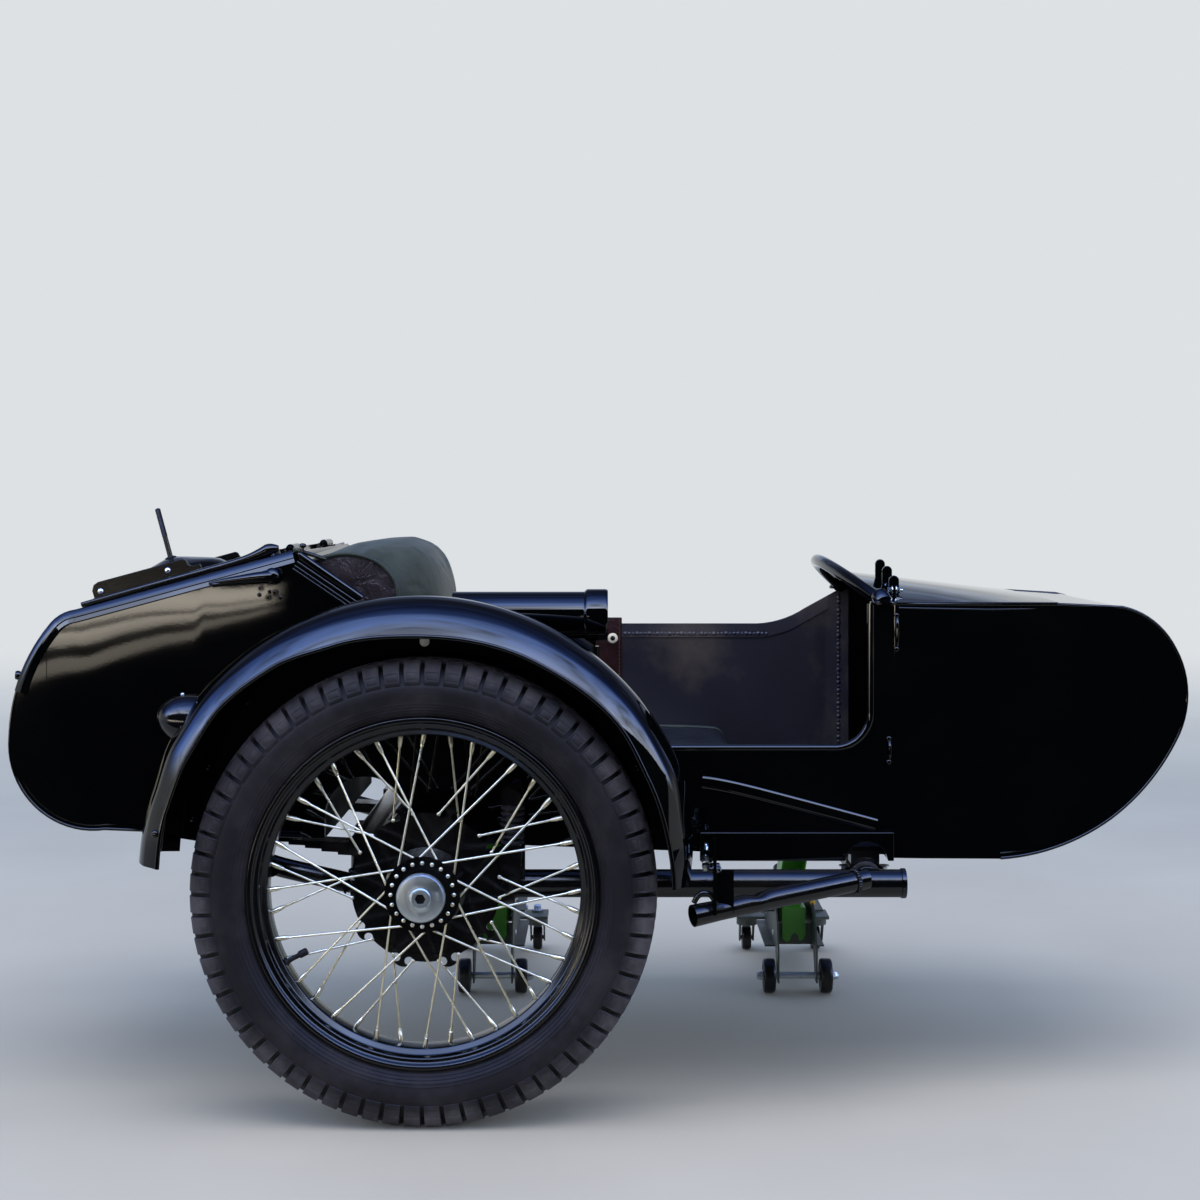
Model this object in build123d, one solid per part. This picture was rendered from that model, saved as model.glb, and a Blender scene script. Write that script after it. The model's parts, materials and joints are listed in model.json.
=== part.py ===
from build123d import *
from math import atan2, cos, degrees, hypot, radians, sin
import os

# A motorcycle sidecar standing on its own wheel and on two small trolley jacks.
# Millimetres. X points forward, Y to the sidecar's left, Z up. Every size below is
# measured from the centre of the road wheel (X and Y) and from the floor (Z). The
# last step moves everything so that the origin is under the middle of the whole.

# Road wheel
TYRE_R = 342.0
TYRE_HALF = 48.0
TYRE_SHOULDER = 31.0
RIM_R = 255.0
RIM_HALF = 36.0
RIM_WELL_HALF = 15.0
RIM_WELL_R = 229.0
RIM_WALL = 3.0
BEAD_SEAT_R = 242.0
BEAD_WIDTH = 11.0
TYRE_WALL = 11.0
WHEEL_Z = TYRE_R

# Hub, axle and brake
AXLE_R = 10.0
AXLE_CLEAR = 0.1
HUB_BARREL_R = 27.0
HUB_NEAR_Y = -40.0
HUB_FAR_Y = 14.0
HUB_FLANGE = 4.0
NEAR_FLANGE_R = 55.0
NEAR_HOLES_R = 46.0
FAR_FLANGE_R = 118.0
FAR_LOBES = 10
FAR_LOBE_R = 17.0
FAR_HOLES_R = 112.0
FAR_HOLE_R = 6.5
FAR_HOLE_PITCH = 10.0
DRUM_R = 100.0
DRUM_DEPTH = 22.0
DRUM_WALL = 7.0
DRUM_RING_R = 60.0
DRUM_RING_HEIGHT = 5.0
CAP_R = 35.0
CAP_FACE_Y = -67.0
CAP_BOSS_R = 15.0
CAP_BOSS_HEIGHT = 4.0
CAP_RECESS_R = 8.0
SPOKES_A_SIDE = 20
SPOKE_R = 1.7
NIPPLE_R = 3.2
NIPPLE_LENGTH = 15.0
NEAR_LACE = 54.0
FAR_LACE = 17.0
BRAKE_GAP = 5.0
BRAKE_PLATE = 6.0

# Fender over the wheel
FENDER_X = -10.0
FENDER_Z = 346.0
FENDER_CROWN_R = 428.0
FENDER_RIM_R = 372.0
FENDER_HALF = 71.0
FENDER_WALL = 2.0
FENDER_REAR = 174.0
FENDER_FRONT = 1.5
VALANCE_R = 300.0
VALANCE_REAR = 171.0
VALANCE_FRONT = 12.0
STRAP_WIDTH = 26.0
STRAP_OUT = FENDER_WALL / 2
STRAP_IN = FENDER_WALL + 4.0

# Tub: a folded sheet body with flat sides, curled under at nose and tail
SIDE_Y = 130.0
TUB_WIDTH = 560.0
WALL = 2.5
NOSE_X = 1189.0
TAIL_X = -660.0
FLOOR_Z = 356.0
SEAM_Z = 755.0
REAR_FLOOR_RISE = 47.0
NOSE_WIDTH = 380.0
TAIL_WIDTH = 520.0
TAIL_CAP = 60.0
PLAN_BEYOND = 20.0
COWL_REAR_X = 690.0
COWL_FRONT_X = 972.0
CROWN = 35.0
COWL_LIP = 4.0
TUB_SEAM_X = 711.0
BOOT_TOP_X = -213.0
BOOT_TOP_Z = 834.0
BOOT_END_X = -560.0
BOOT_END_Z = 740.0
TUNNEL_X = -105.0
TUNNEL_HALF = 62.0
TUNNEL_TOP = 488.0
BULKHEAD_FOOT_X = -75.0
FLOOR_REAR_X = -449.0

# Entry cut-out and rims of the cockpit
SILL_Z = 532.0
CUT_REAR_X = 250.0
CUT_FRONT_X = 674.0
CUT_CORNER_R = 55.0
FAR_RIM_Z = 687.0
FAR_RIM_FRONT_Z = 748.0
COCKPIT_REAR_X = -110.0
COCKPIT_REAR_Z = 763.0
BEAD_R = 5.5
LIP_BAND = 26.0

# Boot lid, spare wheel carrier
LID_FRONT_X = -241.0
LID_REAR_X = -552.0
LID_WALL = 2.0
LID_HEIGHT = 11.0
LID_GAP = 0.6
LID_MARGIN = 14.0
LID_CORNER_R = 30.0
LID_OPENING_MARGIN = 40.0
LID_SWING = 75.0
HINGE_R = 7.0
HINGE_PIN_R = 3.0
HINGE_CLEAR = 0.1
HINGE_KNUCKLE = 22.0
HINGE_SPAN = 340.0
HINGE_SETBACK = 10.0
DISH_X = -458.0
DISH_R = 100.0
DISH_HEIGHT = 40.0
CARRIER_LENGTH = 160.0
CARRIER_HEIGHT = 26.0
CARRIER_Y = 205.0
CARRIER_PLATE = 5.0
CARRIER_FOOT = 22.0
STUD_R = 5.0
STUD_LENGTH = 88.0

# Chassis
TUBE_R = 21.0
TUBE_WALL = 2.5
FRAME_Z = 332.0
RIGHT_TUBE_Y = 90.0
LEFT_TUBE_GAP = 55.0
FRAME_FRONT_X = 720.0
AXLE_END_GAP = 3.0
RIGHT_TUBE_REAR_X = -120.0
LEFT_TUBE_REAR_X = -150.0
FRONT_CROSS_X = 666.0
REAR_CROSS_X = -105.0
REAR_CROSS_Z = 392.0
CROSS_R = 19.0
LOOP_REAR_X = -290.0
LOOP_R = 15.0
LOOP_BEND_R = 80.0
REAR_STAY_X = -240.0
OUTRIGGER_R = 15.0
OUTRIGGER_X = 392.0
OUTRIGGER_Y = -40.0
OUTRIGGER_Z = 313.0
OUTRIGGER_END_X = 674.0
BUSH_R = 30.0
FRONT_ARCH_R = 33.0
BUSH_LENGTH = 40.0
MOUNT_HALF = 42.0
MOUNT_NECK_HALF = 22.0
MOUNT_PLATE = 6.0
MOUNT_INSET = 4.0

# Trailing arm, shock absorber and body springs
ARM_PIVOT_X = 105.0
ARM_PIVOT_R = 32.0
ARM_AXLE_R = 24.0
ARM_WIDTH = 18.0
SHOCK_X = 126.0
SHOCK_LOW_Z = 396.0
SHOCK_HIGH_Z = 458.0
SHOCK_R = 17.0
SHOCK_RIBS = 6
SPRING_LEAVES = 5
LEAF_THICKNESS = 4.0
LEAF_WIDTH = 45.0
SPRING_TIP_X = -262.0
SPRING_INSET = 95.0

# Attachment points on the side towards the motorcycle
LUGS_X = (560.0, 20.0)
LUG_R = 18.0
LUG_BORE_R = 7.0
LUG_THICKNESS = 12.0
LUG_RISE = 46.0
BALL_R = 17.0
BALL_REACH = 95.0
REAR_BALL_X = -60.0
FRONT_BALL_X = 690.0
ARM_BAR_R = 16.0

# Cockpit fittings
SEAT_TOP_Z = 511.0
SEAT_FRONT_X = 483.0
SEAT_REAR_X = -33.0
SEAT_MARGIN = 22.0
SOFT_GAP = 0.3
ARMREST_Z = 737.0
ARMREST_R = 36.0
ARMREST_WALL = 2.0
ARMREST_FRONT_X = 269.0
ARMREST_REAR_X = 30.0
COLLAR_R = 40.0
COLLAR_LENGTH = 36.0
HANDLE_R = 10.0
HANDLE_FOOT_X = 696.0
HANDLE_TOP_X = 625.0
HANDLE_TOP_Z = 812.0
TABS_X = 717.0
TABS_Y = (180.0, 252.0, 329.0)
TAB_HEIGHT = 27.0
TAB_WIDTH = 16.0
TAB_THICKNESS = 5.0
TRIM_FRONT_X = 294.0
TRIM_THICKNESS = 4.0
RAIL_Z = 404.0
RAIL_REAR_X = 410.0
RAIL_FRONT_X = 708.0
RAIL_DEPTH = 12.0
LEVER_X = -247.0
LEVER_Z = 794.0
LEVER_LENGTH = 90.0
TAIL_KNOB_Z = 641.0
LAMP_ANGLE = 143.0
LAMP_R = 36.0
LAMP_LENGTH = 68.0
LAMP_SINK = 20.0
LAMP_TILT = 9.0
STAY_PLATE = 5.0
STAY_HALF = 22.0
STAY_RISE = 68.0
STAY_WEB = 34.0
STAY_LEDGE_Z = 44.0

# Trolley jacks under the left frame tube
JACK_ROWS = (
    # name, X of the jack
    ("jack_1", 620.0),
    ("jack_2", 55.0),
)
JACK_AXLE_INSET = 28.0
JACK_WHEELBASE = 320.0
JACK_WHEEL_R = 31.0
JACK_WHEEL_WIDTH = 21.0
JACK_TRACK = 105.0
JACK_AXLE_R = 6.0
JACK_AXLE_HALF = 76.0
JACK_PLATE_GAP = 68.0
JACK_PLATE = 3.0
JACK_PLATE_LOW = 72.0
JACK_PLATE_HIGH = 152.0
JACK_FLANGE = 19.0
LIFT_ARM_WIDTH = 46.0
LIFT_ARM_PIVOT = 235.0
LIFT_ARM_PIVOT_Z = 105.0
LIFT_ARM_DEPTH = 34.0
SADDLE_R = 24.0
SADDLE_HEIGHT = 12.0
CASTER_WHEEL_R = 23.0
CASTER_WHEEL_WIDTH = 18.0
CASTER_TRACK = 140.0
CASTER_TRAIL = 16.0
CASTER_PLATE_Z = 62.0
CASTER_STEM_R = 6.0
CASTER_FORK_HALF = 15.0
CASTER_FORK_WALL = 3.0

ARM_WALL_Z = ARMREST_Z - ARMREST_R
TUB_LEFT_Y = SIDE_Y + TUB_WIDTH
MIDDLE_Y = SIDE_Y + TUB_WIDTH / 2
LEFT_TUBE_Y = TUB_LEFT_Y + LEFT_TUBE_GAP
JACK_AXLE_Y = LEFT_TUBE_Y - JACK_AXLE_INSET
SKY_Z = 1000.0

pieces = {}


def across(face, y_from, y_to):
    """A face drawn in X and Z, made solid from one Y to another."""
    return extrude(Plane.XZ.offset(-y_from) * face, -(y_to - y_from))


def upright(face, z_from, z_to):
    """A face drawn in X and Y, made solid from one Z to another."""
    return extrude(Plane.XY.offset(z_from) * face, z_to - z_from)


def box(x, y, z):
    """A block between two values of X, Y and Z."""
    return Pos(sum(x) / 2, sum(y) / 2, sum(z) / 2) * Box(x[1] - x[0], y[1] - y[0], z[1] - z[0])


def bar(start, end, radius):
    """A round bar from one point to another."""
    start = Vector(*start)
    run = Vector(*end) - start
    return extrude(Plane(origin=start, z_dir=run) * Circle(radius), run.length)


def drum(x, z, y_from, y_to, radius):
    """A round disc or boss whose axis runs across, along Y."""
    return bar((x, y_from, z), (x, y_to, z), radius)


def post(x, y, z_from, z_to, radius):
    """A round upright boss."""
    return bar((x, y, z_from), (x, y, z_to), radius)


def bent_bar(points, radii, radius):
    """A round bar along straight runs with a rounded bend at each corner."""
    path = FilletPolyline(*points, radius=radii)
    return sweep(Plane(origin=path @ 0, z_dir=path % 0) * Circle(radius), path=path)


def polar(radius, angle):
    """The X and Z of a point round the wheel centre, from straight ahead upwards."""
    return radius * cos(radians(angle)), radius * sin(radians(angle))


def turned(profile):
    """A closed profile of radius and Y, turned about the wheel's axle."""
    face = Plane(origin=(0, 0, WHEEL_Z), x_dir=(1, 0, 0), z_dir=(0, 0, 1)) * profile
    return revolve(face, axis=Axis((0, 0, WHEEL_Z), (0, 1, 0)))


def closed(*parts):
    """One face from arcs and lines that follow each other round."""
    edges = []
    for part in parts:
        edges += part.edges()
    return make_face(edges)


# Tyre: a round carcass with a flat crown, drawn out to the tips of the tread
bead_y = RIM_HALF - RIM_WALL - 3
tyre_bulge_r = (RIM_R + TYRE_R) / 2 - 6
tyre_edge_r = TYRE_R - 4
tyre_face = closed(
    Polyline((BEAD_SEAT_R, -bead_y + BEAD_WIDTH), (BEAD_SEAT_R, -bead_y), (RIM_R + 1, -bead_y)),
    ThreePointArc((RIM_R + 1, -bead_y), (tyre_bulge_r, -TYRE_HALF), (tyre_edge_r, -TYRE_SHOULDER)),
    ThreePointArc((tyre_edge_r, -TYRE_SHOULDER), (TYRE_R, 0), (tyre_edge_r, TYRE_SHOULDER)),
    ThreePointArc((tyre_edge_r, TYRE_SHOULDER), (tyre_bulge_r, TYRE_HALF), (RIM_R + 1, bead_y)),
    Polyline((RIM_R + 1, bead_y), (BEAD_SEAT_R, bead_y), (BEAD_SEAT_R, bead_y - BEAD_WIDTH)),
    ThreePointArc(
        (BEAD_SEAT_R, bead_y - BEAD_WIDTH),
        (tyre_bulge_r, TYRE_HALF - TYRE_WALL),
        (TYRE_R - TYRE_WALL - 12, TYRE_SHOULDER - 12),
    ),
    Polyline(
        (TYRE_R - TYRE_WALL - 12, TYRE_SHOULDER - 12),
        (TYRE_R - TYRE_WALL - 12, -TYRE_SHOULDER + 12),
    ),
    ThreePointArc(
        (TYRE_R - TYRE_WALL - 12, -TYRE_SHOULDER + 12),
        (tyre_bulge_r, -TYRE_HALF + TYRE_WALL),
        (BEAD_SEAT_R, -bead_y + BEAD_WIDTH),
    ),
)
pieces["tyre"] = turned(tyre_face)

# Rim: hooked flanges, bead seats and a drop centre, rolled from one strip
rim_side = (
    # radius, half width: over the flange, down to the seat and into the well
    (RIM_R, RIM_HALF),
    (RIM_R, RIM_HALF - RIM_WALL),
    (BEAD_SEAT_R, bead_y),
    (BEAD_SEAT_R, RIM_WELL_HALF + 6),
    (RIM_WELL_R + RIM_WALL, RIM_WELL_HALF),
)
rim_back = (
    # radius, half width: the inner side, from the flange to the well
    (BEAD_SEAT_R - RIM_WALL, RIM_HALF),
    (BEAD_SEAT_R - RIM_WALL, RIM_WELL_HALF + 8),
    (RIM_WELL_R, RIM_WELL_HALF + 2),
)
rim_loop = (
    [(r, y) for r, y in rim_side]
    + [(r, -y) for r, y in reversed(rim_side)]
    + [(r, -y) for r, y in rim_back]
    + [(r, y) for r, y in reversed(rim_back)]
)
rim = turned(make_face(Polyline(*rim_loop, close=True).edges()))
pieces["rim"] = rim

# Hub: barrel and near flange, far scalloped flange with the brake drum behind it
hub = turned(
    make_face(
        Polyline(
            (AXLE_R + AXLE_CLEAR, HUB_NEAR_Y),
            (NEAR_FLANGE_R, HUB_NEAR_Y),
            (NEAR_FLANGE_R, HUB_NEAR_Y + HUB_FLANGE),
            (HUB_BARREL_R, HUB_NEAR_Y + HUB_FLANGE + 4),
            (HUB_BARREL_R, HUB_FAR_Y - DRUM_RING_HEIGHT - 14),
            (DRUM_RING_R, HUB_FAR_Y - DRUM_RING_HEIGHT),
            (DRUM_RING_R, HUB_FAR_Y),
            (DRUM_R, HUB_FAR_Y),
            (DRUM_R, HUB_FAR_Y + DRUM_DEPTH),
            (DRUM_R - DRUM_WALL, HUB_FAR_Y + DRUM_DEPTH),
            (DRUM_R - DRUM_WALL, HUB_FAR_Y + HUB_FLANGE),
            (AXLE_R + AXLE_CLEAR, HUB_FAR_Y + HUB_FLANGE),
            close=True,
        ).edges()
    )
)
far_flange = drum(0, WHEEL_Z, HUB_FAR_Y - HUB_FLANGE / 2, HUB_FAR_Y + HUB_FLANGE / 2, FAR_FLANGE_R - 8)
far_flange -= drum(0, WHEEL_Z, HUB_NEAR_Y, HUB_FAR_Y + HUB_FLANGE, DRUM_R - 1)
hub += far_flange
lobe_step = 360 / FAR_LOBES
for lobe in range(FAR_LOBES):
    lobe_x, lobe_z = polar(FAR_HOLES_R - FAR_LOBE_R / 2 + 2, lobe * lobe_step)
    lobe_disc = drum(
        lobe_x, WHEEL_Z + lobe_z, HUB_FAR_Y - HUB_FLANGE / 2, HUB_FAR_Y + HUB_FLANGE / 2, FAR_LOBE_R
    )
    hub += lobe_disc - drum(0, WHEEL_Z, HUB_NEAR_Y, HUB_FAR_Y + HUB_FLANGE, DRUM_R - 1)
for lobe in range(FAR_LOBES):
    for side in (-1, 1):
        hole_angle = lobe * lobe_step + side * degrees(FAR_HOLE_PITCH / FAR_HOLES_R)
        hole_x, hole_z = polar(FAR_HOLES_R, hole_angle)
        hub -= drum(hole_x, WHEEL_Z + hole_z, HUB_NEAR_Y, HUB_FAR_Y + DRUM_DEPTH, FAR_HOLE_R)

# Spokes: each runs from its hole in a hub flange to a nipple in the rim's well
spokes = []
nipples = []
rim_reach = RIM_WELL_R + RIM_WALL / 2
spoke_rows = (
    # hub radius, hub Y, half turn between hub hole and rim hole, rim Y, first angle
    (NEAR_HOLES_R, HUB_NEAR_Y + HUB_FLANGE / 2, NEAR_LACE, -RIM_WELL_HALF / 2, 0.0),
    (FAR_HOLES_R - 2, HUB_FAR_Y, FAR_LACE, RIM_WELL_HALF / 2, 9.0),
)
for hub_r, hub_y, lace, rim_y, first in spoke_rows:
    for spoke in range(SPOKES_A_SIDE):
        hand = 1 if spoke % 2 else -1
        rim_angle = first + spoke * 360 / SPOKES_A_SIDE
        hub_x, hub_z = polar(hub_r, rim_angle + hand * lace)
        rim_x, rim_z = polar(rim_reach, rim_angle)
        hub_side = -1.5 * hand * SPOKE_R
        foot = Vector(hub_x, hub_y + hub_side, WHEEL_Z + hub_z)
        tip = Vector(rim_x, rim_y, WHEEL_Z + rim_z)
        nipple_foot = tip - (tip - foot).normalized() * NIPPLE_LENGTH
        spokes.append(bar(tuple(foot), tuple(tip), SPOKE_R))
        nipples.append(bar(tuple(nipple_foot), tuple(tip), NIPPLE_R))
laced = [spoke + nipple for spoke, nipple in zip(spokes, nipples)]
pieces["spokes"] = Compound([(wire - hub - rim).solids().sort_by(SortBy.VOLUME)[-1] for wire in laced])
pieces["hub"] = hub

# Hub cap: a bright screwed disc with a raised boss and a hexagon recess
cap = turned(
    make_face(
        Polyline(
            (0, HUB_NEAR_Y),
            (CAP_R - 8, HUB_NEAR_Y),
            (CAP_R - 8, CAP_FACE_Y + 12),
            (CAP_R, CAP_FACE_Y + 10),
            (CAP_R, CAP_FACE_Y + 3),
            (CAP_R - 3, CAP_FACE_Y),
            (CAP_BOSS_R, CAP_FACE_Y),
            (CAP_BOSS_R - 2, CAP_FACE_Y - CAP_BOSS_HEIGHT),
            (0, CAP_FACE_Y - CAP_BOSS_HEIGHT),
            close=True,
        ).edges()
    )
)
cap -= across(Pos(0, WHEEL_Z) * RegularPolygon(CAP_RECESS_R, 6), CAP_FACE_Y - 6, CAP_FACE_Y + 6)
pieces["hub_cap"] = cap

# Fender: one crowned strip bent over the wheel, with a flat valance towards the tub
def arch(crown_r, rim_r, half):
    """The fender's outer line across the wheel, as radius and Y."""
    middle_r = crown_r - (crown_r - rim_r) * 0.3
    return [
        ThreePointArc((rim_r, -half), (middle_r, -half * 0.78), (crown_r, 0)),
        ThreePointArc((crown_r, 0), (middle_r, half * 0.78), (rim_r, half)),
    ]


outer_arch = arch(FENDER_CROWN_R, FENDER_RIM_R, FENDER_HALF)
inner_arch = arch(FENDER_CROWN_R - FENDER_WALL, FENDER_RIM_R, FENDER_HALF - FENDER_WALL)
fender_strip = closed(
    *outer_arch,
    Polyline((FENDER_RIM_R, FENDER_HALF), (FENDER_RIM_R, FENDER_HALF - FENDER_WALL)),
    *inner_arch,
    Polyline((FENDER_RIM_R, -FENDER_HALF + FENDER_WALL), (FENDER_RIM_R, -FENDER_HALF)),
)
fender_bead = Pos(FENDER_RIM_R, -FENDER_HALF + FENDER_WALL) * Circle(FENDER_WALL * 1.6)


def bent_over(face, first_angle, last_angle):
    """A face of radius and Y, bent round the fender's centre between two angles."""
    start = Location((FENDER_X, 0, FENDER_Z)) * Rot(0, -first_angle, 0)
    solid = revolve(face, axis=Axis((0, 0, 0), (0, -1, 0)), revolution_arc=last_angle - first_angle)
    return start * solid


fender = bent_over(fender_strip, FENDER_FRONT, FENDER_REAR)
fender += bent_over(fender_bead, FENDER_FRONT, FENDER_REAR)
valance_face = Pos((VALANCE_R + FENDER_RIM_R) / 2, FENDER_HALF - FENDER_WALL / 2) * Rectangle(
    FENDER_RIM_R - VALANCE_R + 1, FENDER_WALL
)
fender += bent_over(valance_face, VALANCE_FRONT, VALANCE_REAR)
pieces["fender"] = fender

# Centre strap riveted under the crown, with a round bolt head at its lower end
strap_angle = degrees(STRAP_WIDTH / FENDER_RIM_R)
strap_rim_r = FENDER_RIM_R + 6
strap_side = closed(
    *arch(FENDER_CROWN_R - STRAP_OUT, strap_rim_r, FENDER_HALF - STRAP_OUT),
    Polyline(
        (strap_rim_r, FENDER_HALF - STRAP_OUT),
        (strap_rim_r, FENDER_HALF - STRAP_IN),
    ),
    *arch(FENDER_CROWN_R - STRAP_IN, strap_rim_r, FENDER_HALF - STRAP_IN),
    Polyline(
        (strap_rim_r, -FENDER_HALF + STRAP_IN),
        (strap_rim_r, -FENDER_HALF + STRAP_OUT),
    ),
)
strap = bent_over(strap_side, 90 - strap_angle / 2, 90 + strap_angle / 2) - fender
pieces["fender_strap"] = strap.solids().sort_by(SortBy.VOLUME)[-1]

# Rear lamp housing: a bullet shell standing back from the crown
lamp_x, lamp_z = polar(FENDER_CROWN_R - LAMP_SINK, LAMP_ANGLE)
lamp_side = closed(
    Line((0, 0), (0, LAMP_R)),
    Line((0, LAMP_R), (LAMP_LENGTH * 0.3, LAMP_R)),
    ThreePointArc((LAMP_LENGTH * 0.3, LAMP_R), (LAMP_LENGTH * 0.8, LAMP_R * 0.66), (LAMP_LENGTH, 0)),
    Line((LAMP_LENGTH, 0), (0, 0)),
)
lamp = revolve(lamp_side, axis=Axis.X)
lamp = Location((FENDER_X + lamp_x, 0, FENDER_Z + lamp_z)) * Rot(0, 180 + LAMP_TILT, 0) * lamp
fender_filled = bent_over(
    closed(*outer_arch, Line((FENDER_RIM_R, FENDER_HALF), (FENDER_RIM_R, -FENDER_HALF))),
    FENDER_FRONT,
    FENDER_REAR,
)
lamp = lamp - fender_filled
lamp = lamp - drum(FENDER_X, FENDER_Z, -FENDER_HALF, FENDER_HALF, FENDER_RIM_R + FENDER_WALL)
pieces["lamp_housing"] = lamp.solids().sort_by(SortBy.VOLUME)[-1]

# Tub: side outline of the sheet body, read from the tail round to the nose and back
front_floor_x = NOSE_X - 309
nose_under = Vector(NOSE_X - 130, FLOOR_Z + 57)
nose_low = Vector(NOSE_X - 20, FLOOR_Z + 176)
nose_tip = Vector(NOSE_X, FLOOR_Z + 254)
nose_high = Vector(NOSE_X - 20, FLOOR_Z + 323)
nose_turn = Vector(NOSE_X - 45, FLOOR_Z + 356)
nose_top = Vector(NOSE_X - 110, SEAM_Z - 9)
cowl_front = Vector(COWL_FRONT_X, SEAM_Z - 3)
cowl_rear = Vector(COWL_REAR_X, SEAM_Z)
boot_top = Vector(BOOT_TOP_X, BOOT_TOP_Z)
boot_end = Vector(BOOT_END_X, BOOT_END_Z)
tail_turn = Vector(TAIL_X + 67, BOOT_END_Z - 18)
tail_top = Vector(TAIL_X + 44, BOOT_END_Z - 49)
tail_mid = Vector(TAIL_X + 11, FLOOR_Z + 262)
tail_low = Vector(TAIL_X, FLOOR_Z + 190)
tail_under = Vector(TAIL_X + 40, FLOOR_Z + 84)
tail_foot = Vector(TAIL_X + 150, FLOOR_Z + REAR_FLOOR_RISE + 2)
rear_floor = Vector(FLOOR_REAR_X, FLOOR_Z + REAR_FLOOR_RISE)
front_floor = Vector(front_floor_x, FLOOR_Z)
tunnel_rear = TUNNEL_X - TUNNEL_HALF
tunnel_front = TUNNEL_X + TUNNEL_HALF
floor_slope = REAR_FLOOR_RISE / (front_floor_x - FLOOR_REAR_X)


def floor_at(x):
    """Height of the tub's underside at an X."""
    return FLOOR_Z + (front_floor_x - x) * floor_slope


tub_side = closed(
    Line(rear_floor, (tunnel_rear, floor_at(tunnel_rear))),
    Line((tunnel_rear, floor_at(tunnel_rear)), (tunnel_rear, TUNNEL_TOP - TUNNEL_HALF)),
    ThreePointArc(
        (tunnel_rear, TUNNEL_TOP - TUNNEL_HALF),
        (TUNNEL_X, TUNNEL_TOP),
        (tunnel_front, TUNNEL_TOP - TUNNEL_HALF),
    ),
    Line((tunnel_front, TUNNEL_TOP - TUNNEL_HALF), (tunnel_front, floor_at(tunnel_front))),
    Line((tunnel_front, floor_at(tunnel_front)), front_floor),
    ThreePointArc(front_floor, nose_under, nose_low),
    ThreePointArc(nose_low, nose_tip, nose_high),
    ThreePointArc(nose_high, nose_turn, nose_top),
    Line(nose_top, cowl_front),
    Line(cowl_front, cowl_rear),
    Line(cowl_rear, boot_top),
    Line(boot_top, boot_end),
    ThreePointArc(boot_end, tail_turn, tail_top),
    ThreePointArc(tail_top, tail_mid, tail_low),
    ThreePointArc(tail_low, tail_under, tail_foot),
    Line(tail_foot, rear_floor),
)
tub_side_inner = offset(tub_side, -WALL)

# Plan outline: parallel through the cockpit, drawn in at the nose and the tail
nose_inset = (TUB_WIDTH - NOSE_WIDTH) / 2
tail_inset = (TUB_WIDTH - TAIL_WIDTH) / 2
plan_corners = (
    # X, inset from the widest side, corner radius
    (TAIL_X - PLAN_BEYOND, tail_inset, 0.0),
    (TAIL_X + 300, 0.0, 600.0),
    (COWL_REAR_X + 20, 0.0, 900.0),
    (NOSE_X - 130, nose_inset * 0.62, 300.0),
    (NOSE_X + PLAN_BEYOND, nose_inset, 0.0),
)
right_points = [(x, SIDE_Y + inset) for x, inset, radius in plan_corners]
left_points = [(x, TUB_LEFT_Y - inset) for x, inset, radius in reversed(plan_corners)]
plan_radii = [radius for x, inset, radius in plan_corners]
tub_plan = make_face(Polyline(*right_points, *left_points, close=True).edges())
for corner, radius in zip(plan_corners, plan_radii):
    if not radius:
        continue
    ends = [v for v in tub_plan.vertices() if abs(v.X - corner[0]) < 0.5]
    ends = [v for v in ends if abs(abs(v.Y - MIDDLE_Y) - TUB_WIDTH / 2 + corner[1]) < 0.5]
    tub_plan = fillet(ends, radius)
tub_plan_inner = offset(tub_plan, -WALL)

side_ring = upright(tub_plan - tub_plan_inner, FLOOR_Z - 50, SKY_Z)
sides = side_ring & across(tub_side, SIDE_Y - 10, TUB_LEFT_Y + 10)
skin = across(tub_side - tub_side_inner, SIDE_Y, TUB_LEFT_Y) & upright(tub_plan_inner, FLOOR_Z - 50, SKY_Z)

# Cockpit opening: low sill towards the wheel, high rim towards the motorcycle
near_cut = make_face(
    Polyline(
        (CUT_FRONT_X, SKY_Z),
        (CUT_FRONT_X, SILL_Z),
        (CUT_REAR_X, SILL_Z),
        (CUT_REAR_X, ARM_WALL_Z),
        (COCKPIT_REAR_X + 70, ARM_WALL_Z),
        (COCKPIT_REAR_X, COCKPIT_REAR_Z),
        (BOOT_TOP_X, BOOT_TOP_Z),
        (BOOT_TOP_X, SKY_Z),
        close=True,
    ).edges()
)
sill_corners = [v for v in near_cut.vertices() if abs(v.Y - SILL_Z) < 1]
near_cut = fillet(sill_corners, CUT_CORNER_R)
far_cut = closed(
    Polyline(
        (COWL_REAR_X, SKY_Z),
        (COWL_REAR_X, FAR_RIM_FRONT_Z),
    ),
    Line((COWL_REAR_X, FAR_RIM_FRONT_Z), (COWL_REAR_X - 60, FAR_RIM_Z + 28)),
    ThreePointArc(
        (COWL_REAR_X - 60, FAR_RIM_Z + 28),
        (COWL_REAR_X - 105, FAR_RIM_Z + 7),
        (COWL_REAR_X - 160, FAR_RIM_Z),
    ),
    Polyline(
        (COWL_REAR_X - 160, FAR_RIM_Z),
        (CUT_REAR_X, FAR_RIM_Z),
        (COCKPIT_REAR_X, COCKPIT_REAR_Z),
        (BOOT_TOP_X, BOOT_TOP_Z),
        (BOOT_TOP_X, SKY_Z),
        (COWL_REAR_X, SKY_Z),
    ),
)
near_cutter = across(near_cut, SIDE_Y - 20, MIDDLE_Y)
far_cutter = across(far_cut, MIDDLE_Y, TUB_LEFT_Y + 20)
tub_inside = (SIDE_Y - 20, TUB_LEFT_Y + 20)
mount_widths = (
    # first and last Y of the arch at each front mount
    (SIDE_Y - 20, SIDE_Y + BUSH_LENGTH + 6),
    (TUB_LEFT_Y - BUSH_LENGTH - 6, TUB_LEFT_Y + 20),
)
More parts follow.
